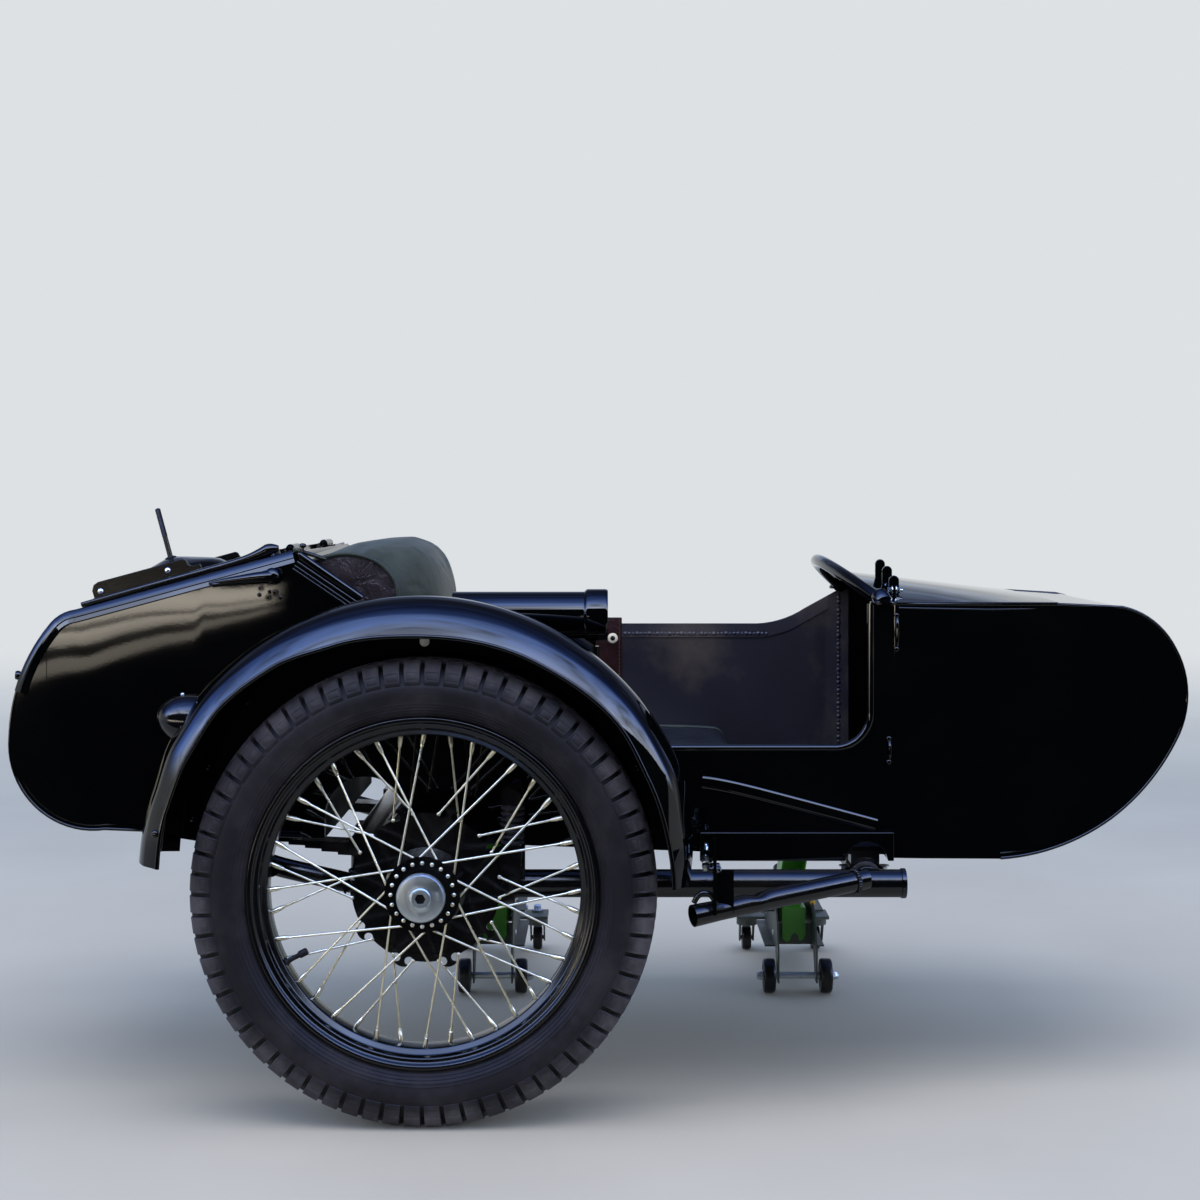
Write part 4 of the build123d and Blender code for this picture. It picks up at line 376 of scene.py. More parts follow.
for hair_angle, hair_y, hair_length in hairs:
    reach = Matrix.Rotation(radians(hair_angle), 3, "Y")
    root_r = 309.0 if abs(hair_y) > 43 else 331.0
    foot = Vector((0, 0, wheel_z)) + reach @ Vector((root_r, hair_y, 0))
    outward = reach @ Vector((0.75, 0.65 if hair_y > 0 else -0.65, 0.25))
    stand = Matrix.Translation(foot) @ outward.to_track_quat("Z", "Y").to_matrix().to_4x4()
    bmesh.ops.create_cone(tread, cap_ends=True, cap_tris=True, segments=4, radius1=0.45,
                          radius2=0.12, depth=hair_length * 2, matrix=stand)
bmesh.ops.spin(tread, geom=tread.verts[:] + tread.edges[:] + tread.faces[:], cent=(0, 0, wheel_z),
               axis=(0, 1, 0), angle=2 * pi * (blocks - 1) / blocks, steps=blocks - 1,
               use_duplicate=True)
# The carcass faces beyond the groove radius, seen between the blocks, take a near-black copy of the
# rubber: painted shade.
for face in tyre_bm.faces:
    spread = face.calc_center_median() - Vector((0, 0, wheel_z))
    if hypot(spread.x, spread.z) > groove_r:
        face.material_index = 1
join(tyre_bm, tread)


def principled(name, specular=0.5, metallic=0.0):
    """Starts a finish: its material, its node tree, and the place on the piece."""
    made = bpy.data.materials.new(name)
    made.use_nodes = True
    tree = made.node_tree
    shader = tree.nodes["Principled BSDF"]
    shader.inputs["Specular IOR Level"].default_value = specular
    shader.inputs["Metallic"].default_value = metallic
    return made, tree, add(tree, "ShaderNodeTexCoord").outputs["Object"]


def feed(tree, tone, dull, relief=None):
    """Links a finish's colour, roughness and relief to its shader."""
    shader = tree.nodes["Principled BSDF"]
    tree.links.new(tone.outputs[2], shader.inputs["Base Color"])
    tree.links.new(dull.outputs[0], shader.inputs["Roughness"])
    if relief:
        tree.links.new(relief.outputs["Normal"], shader.inputs["Normal"])


# Carbon black rubber, moulded: nearly matt, with a grey bloom in patches that dulls it. Further out
# than the wall the tread is a paler grey. A copy for the grooves between the blocks is painted
# shade.
rubber, tree, spot = principled("moulded_rubber", specular=0.18)
bloom = add(tree, "ShaderNodeTexNoise", {"Vector": spot, "Scale": 14.0, "Detail": 5.0,
                                         "Roughness": 0.6})
grit = add(tree, "ShaderNodeTexNoise", {"Vector": spot, "Scale": 700.0, "Detail": 2.0})
dust = add(tree, "ShaderNodeMapRange", {"Value": bloom.outputs["Fac"], "From Min": 0.42,
                                        "From Max": 0.7})
wall_tone = add(tree, "ShaderNodeMix", {0: dust.outputs[0], 6: linear("#18171B"),
                                        7: linear("#2E2C31")},
                data_type="RGBA")
tread_tone = add(tree, "ShaderNodeMix", {0: dust.outputs[0], 6: linear("#2E2D33"),
                                         7: linear("#55535A")},
                 data_type="RGBA")
spread = add(tree, "ShaderNodeVectorMath", {0: spot, 1: at(0, 0, wheel_z)}, operation="SUBTRACT")
across = add(tree, "ShaderNodeVectorMath", {0: spread.outputs[0], 1: (1.0, 0.0, 1.0)},
             operation="MULTIPLY")
reach = add(tree, "ShaderNodeVectorMath", {0: across.outputs[0]}, operation="LENGTH")
# The tread, further out than the wall, is mixed to a paler grey than the wall.
beyond_wall_share = add(tree, "ShaderNodeMapRange", {"Value": reach.outputs["Value"], "From Min": 0.306,
                                           "From Max": 0.322})
tone = add(tree, "ShaderNodeMix", {0: beyond_wall_share.outputs[0], 6: wall_tone.outputs[2],
                                   7: tread_tone.outputs[2]},
           data_type="RGBA")
dull = add(tree, "ShaderNodeMapRange", {"Value": bloom.outputs["Fac"], "To Min": 0.48,
                                        "To Max": 0.72})
relief = add(tree, "ShaderNodeBump", {
    "Height": grit.outputs["Fac"], "Strength": 0.25, "Distance": 0.0004})
feed(tree, tone, dull, relief)
block_tyre = piece("block_tread_tyre", tyre_bm, rubber, "road_wheel", ["tyre"],
                   crease=32)
# The grooves' copy of the rubber is painted near-black: painted shade between the blocks.
groove_rubber_painted_shade = rubber.copy()
groove_rubber_painted_shade.name = "moulded_rubber_painted_groove_shade"
for mix in [node for node in groove_rubber_painted_shade.node_tree.nodes if node.bl_idname == "ShaderNodeMix"]:
    if not mix.inputs[6].is_linked:
        mix.inputs[6].default_value = linear("#08080A")
        mix.inputs[7].default_value = linear("#121214")
block_tyre.data.materials.append(groove_rubber_painted_shade)


# Rim: one strip of steel rolled to a hooked section with a well in the middle, welded,
# stove enamelled black; each nipple sits in a pressed dimple.
def rounded(line, radius, steps=3):
    """A closed line of points with each corner rounded off."""
    count = len(line)
    out = []
    for i, point in enumerate(line):
        here, before, after = Vector(point), Vector(line[i - 1]), Vector(line[(i + 1) % count])
        back, ahead = (before - here), (after - here)
        cut = min(radius, back.length * 0.45, ahead.length * 0.45)
        start, end = here + back.normalized() * cut, here + ahead.normalized() * cut
        for s in range(steps + 1):
            t = s / steps
            out.append((start * (1 - t) ** 2 + here * 2 * t * (1 - t) + end * t ** 2)[:])
    return out


rim_half_line = [(256.4, 33.0), (256.4, 37.0), (250.5, 37.0), (246.5, 31.5), (240.0, 29.6),
                 (238.0, 22.5), (229.0, 17.0)]
rim_back_line = [(232.6, 14.5), (242.0, 20.5), (243.5, 27.0), (250.0, 31.8)]
rim_line = rim_half_line + [(r, -y) for r, y in reversed(rim_half_line)]
rim_line += [(r, -y) for r, y in reversed(rim_back_line)] + rim_back_line
rim_bm = bmesh.new()
turn(rim_bm, rounded(rim_line, 2.4), 160, ring=True)


def enamel(name, code, rough, orange_peel=0.12, dust_and_sheen_code="#2A2A2C", dust_and_sheen=0.5, waves=0.0,
           specular=0.36):
    """Enamel, sprayed or stoved: deep gloss with a faint orange peel, and slow waves where a
    hand-beaten panel lies under it; patches of a second colour: a film of dust that dulls it, and
    on the tub's inner walls painted sheen."""
    made, tree, spot = principled(name, specular)
    cloud = add(tree, "ShaderNodeTexNoise", {"Vector": spot, "Scale": 5.0, "Detail": 7.0,
                                             "Roughness": 0.62})
    film = add(tree, "ShaderNodeMapRange", {
        "Value": cloud.outputs["Fac"], "From Min": 0.5, "From Max": 0.8, "To Max": dust_and_sheen})
    tone = add(tree, "ShaderNodeMix", {0: film.outputs[0], 6: linear(code), 7: linear(dust_and_sheen_code)},
               data_type="RGBA")
    dull = add(tree, "ShaderNodeMapRange", {
        "Value": cloud.outputs["Fac"], "From Min": 0.35, "From Max": 0.8,
        "To Min": rough, "To Max": rough * 1.8})
    peel = add(tree, "ShaderNodeTexNoise", {"Vector": spot, "Scale": 260.0, "Detail": 1.0})
    relief = add(tree, "ShaderNodeBump", {"Height": peel.outputs["Fac"], "Strength": orange_peel,
                                          "Distance": 0.0002})
    if waves:
        swell = add(tree, "ShaderNodeTexNoise", {"Vector": spot, "Scale": 3.2, "Detail": 1.5,
                                                 "Distortion": 0.4})
        lie = add(tree, "ShaderNodeBump", {"Height": swell.outputs["Fac"], "Strength": 1.0,
                                           "Distance": waves})
        tree.links.new(lie.outputs["Normal"], relief.inputs["Normal"])
    feed(tree, tone, dull, relief)
    return made


rim_enamel = enamel("stoved_enamel_rim", "#07080A", 0.16)
piece("rolled_rim", rim_bm, rim_enamel, "road_wheel", ["rim"], crease=50)


# Spokes and nipples: forty drawn steel wires with brass nipples, all zinc plated and passed
# yellow, laced from a small flange on the near side and the brake flange on the far side.
def plated(name, code, rough, stain, stain_code, grain=0.0):
    """Zinc plate over steel: bright, with a cloudy stain where it has aged."""
    made, tree, spot = principled(name, metallic=1.0)
    cloud = add(tree, "ShaderNodeTexNoise", {"Vector": spot, "Scale": 38.0, "Detail": 6.0,
                                             "Roughness": 0.65})
    aged = add(tree, "ShaderNodeMapRange", {
        "Value": cloud.outputs["Fac"], "From Min": 0.48, "From Max": 0.72, "To Max": stain})
    tone = add(tree, "ShaderNodeMix", {0: aged.outputs[0], 6: linear(code), 7: linear(stain_code)},
               data_type="RGBA")
    dull = add(tree, "ShaderNodeMapRange", {
        "Value": cloud.outputs["Fac"], "From Min": 0.3, "From Max": 0.8,
        "To Min": rough, "To Max": rough + 0.22})
    relief = None
    if grain:
        fine = add(tree, "ShaderNodeTexNoise", {"Vector": spot, "Scale": 900.0, "Detail": 1.0})
        relief = add(tree, "ShaderNodeBump", {
            "Height": fine.outputs["Fac"], "Strength": grain, "Distance": 0.0002})
    feed(tree, tone, dull, relief)
    return made


yellow_zinc = plated("yellow_zinc_plate", "#E6DFC4", 0.24, 0.6, "#A79B70")
bright_zinc = plated("bright_zinc_plate", "#C9D0D4", 0.2, 0.5, "#8B9094")


def coat(node, material):
    """Gives a carried-over solid its finish."""
    mesh = frame["nodes"][node].data
    mesh.materials.clear()
    mesh.materials.append(material)


coat("spokes", yellow_zinc)
spokes_a_side = 20
rim_reach = 230.5
flanges = (
    # radius and Y of the spokes' heads, Y of their bends and of their nipples, how far round
    # they are laced, and where the first one starts
    (46.0, -40.8, -38.0, -7.5, 54.0, 0.0),
    (110.0, 11.2, 14.0, 7.5, 17.0, 9.0),
)
collar_line = [(1.6, 21.0), (2.5, 20.6), (2.9, 18.5), (3.0, 15.5), (3.5, 15.0), (3.6, 4.0),
               (1.6, 3.5)]
heads_bm, collar_bm = bmesh.new(), bmesh.new()
for hub_r, head_y, bend_y, nipple_y, lace, first in flanges:
    for spoke in range(spokes_a_side):
        hand = 1 if spoke % 2 else -1
        tip_at = radians(first + spoke * 360 / spokes_a_side)
        foot_at = tip_at + radians(hand * lace)
        foot = Vector((hub_r * cos(foot_at), bend_y - hand * 2.55, wheel_z + hub_r * sin(foot_at)))
        tip = Vector((rim_reach * cos(tip_at), nipple_y, wheel_z + rim_reach * sin(tip_at)))
        dome = bmesh.ops.create_uvsphere(heads_bm, u_segments=10, v_segments=6, radius=3.1)["verts"]
        bmesh.ops.scale(heads_bm, vec=(1.0, 0.62, 1.0), verts=dome)
        bmesh.ops.translate(heads_bm, vec=(foot.x, head_y, foot.z), verts=dome)
        turn(collar_bm, collar_line, 10, place=tip, along=foot - tip)
piece("spoke_heads", heads_bm, yellow_zinc, "road_wheel")
piece("nipple_collars", collar_bm, yellow_zinc, "road_wheel", crease=45)

# Hub: turned steel barrel with the brake drum, painted black; the cap that closes its
# bearing is a zinc-plated disc with a raised boss and a hexagon for the key.
hub_paint = enamel("brushed_enamel_hub", "#08080A", 0.15, orange_peel=0.3, dust_and_sheen_code="#2E2C29",
                   dust_and_sheen=0.3)
coat("hub", hub_paint)
coat("brake_plate", hub_paint)
cap_plate = plated("satin_zinc_cap", "#C8D1D5", 0.3, 0.35, "#9AA3A8", grain=0.35)
coat("hub_cap", cap_plate)
cap_bm = bmesh.new()
turn(cap_bm, [(0.0, -66.9), (8.6, -66.9), (9.0, -71.3), (12.2, -71.9), (14.2, -71.2), (15.2, -68.2),
              (19.5, -67.4), (21.0, -67.3), (31.4, -67.3), (33.4, -66.6), (34.6, -65.2),
              (35.4, -63.0), (35.4, -57.2), (33.0, -56.6)], 64)
for angle in (45, 135, 225, 315):
    block = bmesh.ops.create_cube(cap_bm, size=1.0)["verts"]
    bmesh.ops.scale(cap_bm, vec=(3.2, 1.4, 5.0), verts=block)
    bmesh.ops.translate(cap_bm, vec=(0, -72.1, 11.8), verts=block)
    bmesh.ops.rotate(cap_bm, matrix=Matrix.Rotation(radians(angle), 3, "Y"), verts=block)
    bmesh.ops.translate(cap_bm, vec=(0, 0, wheel_z), verts=block)
piece("cap_cover", cap_bm, cap_plate, "road_wheel", crease=30)
# A dark disc at the bottom of the cap's socket: painted shade in the recess.
socket_bm = bmesh.new()
turn(socket_bm, [(0.0, -67.3), (6.0, -67.3), (8.3, -67.6), (8.3, -66.0), (0.0, -66.0)], 6)
dark_steel_and_shade = plated("dark_steel_and_painted_shade", "#2B2A2A", 0.35, 0.4, "#151515")
piece("cap_socket", socket_bm, dark_steel_and_shade, "road_wheel", crease=20)

# Valve: a rubber-covered stem through the rim's well, with a knurled black cap.
valve_bm = bmesh.new()
valve_at = radians(207.6)
inward = Vector((-cos(valve_at), 0, -sin(valve_at)))
valve_foot = Vector((232 * cos(valve_at), -2.0, wheel_z + 232 * sin(valve_at)))
stem = [(0.0, 0.0), (7.0, 0.0), (7.0, 3.0), (4.4, 6.0), (3.6, 12.0), (3.6, 24.0)]
stem += [(5.4, 24.2), (5.6, 26.0), (5.6, 35.0), (4.6, 37.0), (0.0, 37.4)]
turn(valve_bm, stem, 16, place=valve_foot, along=inward)
piece("tyre_valve", valve_bm, rubber, "road_wheel", crease=30)


# Fender: sheet steel pressed to a crown and rolled over a wire at its near edge, with a flat
# valance welded to its far side; sprayed black over filler, so the crown mirrors the sky. It
# was beaten by hand over a former: its depth falls away towards both ends.
fender_x, fender_z = -10.0, 346.0
crown_r, edge_r, half_wide, valance_r = 428.0, 372.0, 71.0, 300.0
sheet = 2.0
fender_first, fender_last = 1.5, 174.0
fender_hand = (
    # angle over the wheel, radius of the near edge, radius of the crown
    (0.0, 374.0, 400.0),
    (12.0, 374.0, 411.0),
    (26.0, 376.0, 425.0),
    (41.0, 383.0, 428.0),
    (62.0, 378.0, 428.0),
    (90.0, 372.0, 428.0),
    (108.0, 377.0, 428.0),
    (122.0, 385.0, 428.0),
    (135.0, 387.0, 427.0),
    (148.0, 380.0, 422.5),
    (160.0, 375.0, 413.0),
    (176.0, 369.0, 409.0),
)
body_enamel = enamel("sprayed_enamel_body", "#030405", 0.025, orange_peel=0.02, dust_and_sheen=0.06,
                     waves=0.0012)


def arc_through(a, b, c, steps):
    """Points on the arc from a past b to c."""
    a, b, c = (Vector(p) for p in (a, b, c))
    d = 2 * (a.x * (b.y - c.y) + b.x * (c.y - a.y) + c.x * (a.y - b.y))
    aa, bb, cc = (p.length_squared for p in (a, b, c))
    mid = Vector((aa * (b.y - c.y) + bb * (c.y - a.y) + cc * (a.y - b.y),
                  aa * (c.x - b.x) + bb * (a.x - c.x) + cc * (b.x - a.x))) / d
    first, past, last = (atan2((p - mid).y, (p - mid).x) for p in (a, b, c))
    turns = (past - first + pi) % (2 * pi) - pi + (last - past + pi) % (2 * pi) - pi
    radius = (a - mid).length
    return [(mid.x + radius * cos(first + turns * s / steps),
             mid.y + radius * sin(first + turns * s / steps)) for s in range(steps + 1)]


def between(rows, spot, column):
    """A column's value at a spot, read smoothly between the rows."""
    if spot <= rows[0][0]:
        return rows[0][column]
    for low, high in zip(rows, rows[1:]):
        if spot <= high[0]:
            share = (spot - low[0]) / (high[0] - low[0])
            share = share * share * (3 - 2 * share)
            return low[column] + (high[column] - low[column]) * share
    return rows[-1][column]


def over_wheel(bm, line, first, last, steps, ring=False):
    """Bends a line of (radius, Y) points over the wheel between two angles."""
    turn(bm, line, steps, place=(fender_x, 0, fender_z), start=-first, span=first - last, ring=ring)


def beat(verts, rigid=False):
    """Moves a circular fender's points in or out, to the depths of the real one."""
    for v in verts:
        x, z = v.co.x - fender_x, v.co.z - fender_z
        radius, angle = hypot(x, z), degrees(atan2(z, x))
        edge, crown = (between(fender_hand, angle, column) for column in (1, 2))
        if rigid:
            new = radius - edge_r + edge
        elif radius > edge_r:
            new = edge + (radius - edge_r) * (crown - edge) / (crown_r - edge_r)
        else:
            new = valance_r + (radius - valance_r) * (edge - valance_r) / (edge_r - valance_r)
        v.co.x, v.co.z = fender_x + x * new / radius, fender_z + z * new / radius


near_arc = [(edge_r, -half_wide)]
near_arc += arc_through((402.0, -half_wide + 13.0), (418.5, -half_wide + 33.0), (crown_r, 0.0), 12)
far_arc = [(r, -y) for r, y in reversed(near_arc)][1:]
fender_bm = bmesh.new()
over_wheel(fender_bm, near_arc + far_arc, fender_first, fender_last, 120)
over_wheel(fender_bm, [(edge_r, half_wide), (340.0, half_wide), (valance_r, half_wide)], 12.0,
           171.0, 110)
face_out(fender_bm)
bmesh.ops.solidify(fender_bm, geom=fender_bm.faces[:], thickness=sheet)
beat(fender_bm.verts)
wire_r = 3.4
wire_line = [(edge_r + 0.4 + wire_r * cos(radians(a)),
              -half_wide + wire_r - 0.6 + wire_r * sin(radians(a)))
             for a in range(0, 360, 30)]
plain = set(fender_bm.verts)
over_wheel(fender_bm, wire_line, fender_first, fender_last, 120, ring=True)
beat([v for v in fender_bm.verts if v not in plain], rigid=True)
open_edges = [e for e in fender_bm.edges if e.is_boundary]
bmesh.ops.holes_fill(fender_bm, edges=open_edges, sides=20)
face_out(fender_bm)
piece("rolled_fender", fender_bm, body_enamel, "root", ["fender"], crease=50)


# Fender fittings: a strap under the crown with one painted bolt, rivets with shallow heads,
# a bullet-shaped lamp shell spun from sheet, and the bright bolts of the front stay.
def rod(bm, line, radius, smooth=False, around=6, taper=None):
    """Sweeps a round bar along points; a smooth one bends through them as a spline."""
    curve = bpy.data.curves.new("rod", "CURVE")
    curve.dimensions = "3D"
    curve.bevel_depth = radius
    curve.bevel_resolution = around
    curve.use_fill_caps = True
    spline = curve.splines.new("NURBS" if smooth else "POLY")
    spline.points.add(len(line) - 1)
    for i, (dot, spot) in enumerate(zip(spline.points, line)):
        dot.co = (*spot, 1.0)
        if taper:
            dot.radius = taper[i]
    if smooth:
        spline.order_u = 3
        spline.use_endpoint_u = True
        spline.resolution_u = 8
    holder = bpy.data.objects.new("rod", curve)
    mesh = bpy.data.meshes.new_from_object(holder)
    bm.from_mesh(mesh)
    bpy.data.objects.remove(holder)
    bpy.data.meshes.remove(mesh)
    bpy.data.curves.remove(curve)


def facing(place, along):
    """A matrix that stands a shape made on +Z at a place, pointing along a direction."""
    turned = Vector(along).to_track_quat("Z", "Y").to_matrix().to_4x4()
    return Matrix.Translation(Vector(place)) @ turned


def hex_bolt(bm, place, along, across_flats, washer=0.0, tail=0.0):
    """A hexagon head with a chamfered top, on a washer, and a threaded end where one shows."""
    stand = facing(place, along)
    corner = across_flats / 2 / cos(radians(30))
    high = across_flats * 0.62
    base = 0.0
    if washer:
        bmesh.ops.create_cone(bm, cap_ends=True, segments=20, radius1=washer, radius2=washer,
                              depth=1.6, matrix=stand @ Matrix.Translation((0, 0, 0.8)))
        base = 1.6
    middle = stand @ Matrix.Translation((0, 0, base + high / 2))
    head = bmesh.ops.create_cone(bm, cap_ends=True, segments=6, radius1=corner, radius2=corner,
                                 depth=high, matrix=middle)["verts"]
    top = [f for f in {f for v in head for f in v.link_faces}
           if all((stand.inverted() @ v.co).z > base + high - 0.01 for v in f.verts)]
    bmesh.ops.bevel(bm, geom=[e for f in top for e in f.edges], offset=across_flats * 0.07,
                    segments=1, profile=0.5, affect="EDGES", material=-1)
    if tail:
        line = []
        for step in range(int(tail / 1.25)):
            line += [(across_flats * 0.27, step * 1.25), (across_flats * 0.31, step * 1.25 + 0.6)]
        turn(bm, line + [(0.0, tail)], 12, place=stand @ Vector((0, 0, base + high)), along=along)


def dome_head(bm, place, along, radius, high=0.45):
    """A rivet's or screw's shallow domed head."""
    head = bmesh.ops.create_uvsphere(bm, u_segments=14, v_segments=8, radius=radius)["verts"]
    bmesh.ops.scale(bm, vec=(1.0, 1.0, high), verts=head)
    bmesh.ops.transform(bm, matrix=facing(place, along), verts=head)


def on_fender(inset, angle, y, column=1):
    """A place so far from the near edge or the crown, at an angle over the wheel."""
    radius = between(fender_hand, angle, column) + inset
    return Vector((fender_x + radius * cos(radians(angle)), y,
                   fender_z + radius * sin(radians(angle))))


strap_bm = bmesh.new()
strap_line = [(r - 3.4, y * 0.955) for r, y in near_arc[2:] + far_arc[:-1]]
strap_line += [(369.0, 67.2), (347.0, 66.2)]
over_wheel(strap_bm, strap_line, 87.6, 92.4, 6)
face_out(strap_bm)
bmesh.ops.solidify(strap_bm, geom=strap_bm.faces[:], thickness=1.8)
beat(strap_bm.verts)
face_out(strap_bm)
piece("riveted_strap", strap_bm, body_enamel, "root", ["fender_strap"], crease=50)
painted_bolt = bmesh.new()
turn(painted_bolt, [(0.0, 60.4), (4.6, 60.8), (7.0, 62.2), (7.6, 64.0), (7.6, 68.0), (0.0, 68.0)],
     24, place=(-7.0, 0.0, 701.0))
white_touch = enamel("brushed_white_enamel", "#F7F3E8", 0.35, orange_peel=0.5, dust_and_sheen_code="#CFC7B2",
                     dust_and_sheen=0.5)
piece("strap_bolt", painted_bolt, white_touch, "root", crease=40)

rivets = bmesh.new()
for angle in (27.0, 45.0, 63.0, 117.0, 135.0, 153.0, 166.0):
    dome_head(rivets, on_fender(-14.0, angle, half_wide - 2.2), (0, -1, 0), 4.2)
dome_head(rivets, on_fender(9.0, 166.5, -half_wide + 4.0), (-0.4, -1, 0.1), 5.5)
piece("fender_rivets", rivets, body_enamel, "root", crease=40)

lamp_foot = on_fender(-20.0, 143.0, 0.0, column=2)
lamp_along = Vector((-cos(radians(9)), 0, sin(radians(9))))
lamp_bm = bmesh.new()
lamp_line = [(0.0, 0.0), (37.6, 0.0), (37.4, 12.0), (36.2, 22.0), (33.6, 32.0), (29.4, 41.0),
             (24.0, 48.5), (17.6, 54.6), (10.6, 58.8), (4.6, 60.8), (0.0, 61.2)]
turn(lamp_bm, lamp_line, 56, place=lamp_foot, along=lamp_along)
lamp_enamel = enamel("sprayed_enamel_lamp", "#06070B", 0.08, dust_and_sheen=0.15)
piece("lamp_bullet", lamp_bm, lamp_enamel, "root", ["lamp_housing"], crease=60)
lamp_screw = bmesh.new()
dome_head(lamp_screw, lamp_foot + lamp_along * 24 + Vector((0, 0, 35.6)), (-0.1, 0, 1), 3.4,
          high=0.8)
piece("lamp_screw", lamp_screw, bright_zinc, "root")

stay_bolts = bmesh.new()
for bolt_x, bolt_y, bolt_z in ((412.0, -34.0, 389.0), (412.0, -14.0, 389.0)):
    hex_bolt(stay_bolts, (bolt_x, bolt_y, bolt_z), (0.05, 0, 1), 11.0, washer=8.5, tail=15.0)
    hex_bolt(stay_bolts, (bolt_x, bolt_y, bolt_z - 6.5), (0, 0, -1), 11.0)
for bolt_y in (-42.0, -18.0):
    hex_bolt(stay_bolts, (421.0, bolt_y, 379.0), (1, 0, 0.02), 10.0, washer=8.0, tail=5.0)
piece("stay_bolts", stay_bolts, bright_zinc, "root", crease=28)


def ease(made, width, angle, even=True):
    """Eases a piece's edges by a width in millimetres."""
    bevel = made.modifiers.new("ease", "BEVEL")
    bevel.width = width / 1000
    bevel.segments = 2
    bevel.limit_method = "ANGLE"
    bevel.angle_limit = radians(angle)
    bevel.harden_normals = even


def resurface(name, nodes, material, crease=30, round_off=0.0, flatten=1.2):
    """Carries solids over as one merged, smooth-shaded piece, with their edges eased."""
    bm = bmesh.new()
    for node in nodes:
        bm.from_mesh(frame["nodes"][node].data)
    bmesh.ops.remove_doubles(bm, verts=bm.verts, dist=2e-6)
    bmesh.ops.dissolve_limit(bm, angle_limit=radians(flatten), verts=bm.verts, edges=bm.edges,
                             use_dissolve_boundaries=False)
    made = piece(name, bm, material, frame["nodes"][nodes[0]]["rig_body"], nodes,
                 crease=crease, new=False)
    if round_off:
        ease(made, round_off, crease + 8)


side_y, tub_wide = 130.0, 560.0
drawn_in = (
    # X, how far each side is drawn in there, and how fast it goes on
    (-360.0, 0.0, -0.0625),
    (638.0, 0.0, 0.0),
    (781.0, 11.4, 0.160),
    (1059.0, 55.8, 0.228),
)


def side_at(x, left=False):
    """Y of the tub's outer side at an X."""
    tail, straight, bend, nose = drawn_in
    if straight[0] < x <= bend[0]:
        inset = bend[1] * ((x - straight[0]) / (bend[0] - straight[0])) ** 2
    elif tail[0] <= x <= straight[0]:
        inset = 0.0
    else:
        from_x, start, rate = tail if x < tail[0] else nose if x > nose[0] else bend
        inset = start + (x - from_x) * rate
    return side_y + tub_wide - inset if left else side_y + inset


for name, nodes, eased in (
    ("tub_flank_right", ["tub_side_right"], 0.8),
    ("tub_flank_left", ["tub_side_left"], 0.8),
    ("tub_nose", ["nose_shell"], 1.0),
    ("tub_cowl", ["cowl"], 0.8),
    ("tub_boot", ["boot_shell"], 1.0),
    ("tub_bulkhead", ["seat_bulkhead"], 0.8),
    ("tub_rails", ["side_rails"], 1.5),
    ("cockpit_beads", ["coaming_tube"], 0.0),
    ("cowl_lugs", ["cowl_tabs"], 1.0),
    ("side_catches", ["catches"], 0.8),
    ("hinge_humps", ["lid_hinges"], 1.0),
):
    resurface(name, nodes, body_enamel, round_off=eased)

# The folded seam: the side is turned over the skin's flange and dressed down, which leaves
# one bead on the corner and a finer one just inside it.
nose_edge = arc_through((880, 356), (1059, 413), (1169, 532), 24)
nose_edge += arc_through((1169, 532), (1189, 610), (1169, 679), 12)[1:]
nose_edge += arc_through((1169, 679), (1144, 712), (1079, 746), 10)[1:]
nose_edge += [(972, 752), (860, 753), (750, 754.5), (712, 755)]
tail_edge = [(-216, 833), (-330, 802), (-450, 769.5), (-556, 741)]
tail_edge += arc_through((-560, 740), (-593, 722), (-616, 691), 8)
tail_edge += arc_through((-616, 691), (-649, 618), (-660, 546), 14)[1:]
tail_edge += arc_through((-660, 546), (-620, 440), (-510, 405), 20)[1:]
tail_edge += [(-300, 398), (-200, 395)]
seams = bmesh.new()
for left in (False, True):
    inward = -1 if left else 1
    for edge, hub in ((nose_edge, (860, 560)), (tail_edge, (-380, 600))):
        corner, inner = [], []
        for x, z in edge:
            back = (Vector(hub) - Vector((x, z))).normalized()
            corner.append((x + back.x * 1.2, side_at(x, left) + inward * 1.4, z + back.y * 1.2))
            inner.append((x + back.x * 9.0, side_at(x, left) + inward * 0.9, z + back.y * 9.0))
        rod(seams, corner, 2.6, around=3)
        rod(seams, inner, 1.5, around=2)
piece("folded_seams", seams, body_enamel, "root", crease=60)

# Pressings and small iron on the right flank: a swage that stiffens the low sill, the clips
# that locate the nose, and a row of domed bolts under the lever.
flank_iron = bmesh.new()
swage = bmesh.new()
rod(swage, [(414, 0, 479), (440, 0, 477), (560, 0, 446), (682, 0, 413)], 10.0, smooth=True,
    around=5)
bmesh.ops.scale(swage, vec=(1.0, 0.34, 1.0), verts=swage.verts)
bmesh.ops.translate(swage, vec=(0, side_y, 0), verts=swage.verts)
join(flank_iron, swage)
for clip_x, clip_low, clip_high in ((715.0, 688.0, 732.0), (703.0, 514.0, 542.0)):
    stand = side_at(clip_x)
    rod(flank_iron, [(clip_x, stand + 1, clip_low), (clip_x, stand - 4, clip_low + 5),
                     (clip_x, stand - 4.5, (clip_low + clip_high) / 2),
                     (clip_x, stand - 4, clip_high - 5), (clip_x, stand + 1, clip_high)], 2.4,
        smooth=True, around=3)
    for end in (clip_low - 4, clip_high + 4):
        dome_head(flank_iron, (clip_x - 1, stand, end), (0, -1, 0), 4.0)
rod(flank_iron, [(711.5, side_at(711.5) + 0.7, 402), (711.5, side_at(711.5) + 0.7, 752)], 1.5,
    around=2)
for bolt_x, bolt_z in ((-252.0, 772.0), (-236.0, 764.0), (-268.0, 768.0)):
    dome_head(flank_iron, (bolt_x, side_y, bolt_z), (0, -1, 0), 3.6)
piece("flank_fittings", flank_iron, body_enamel, "root", crease=45)
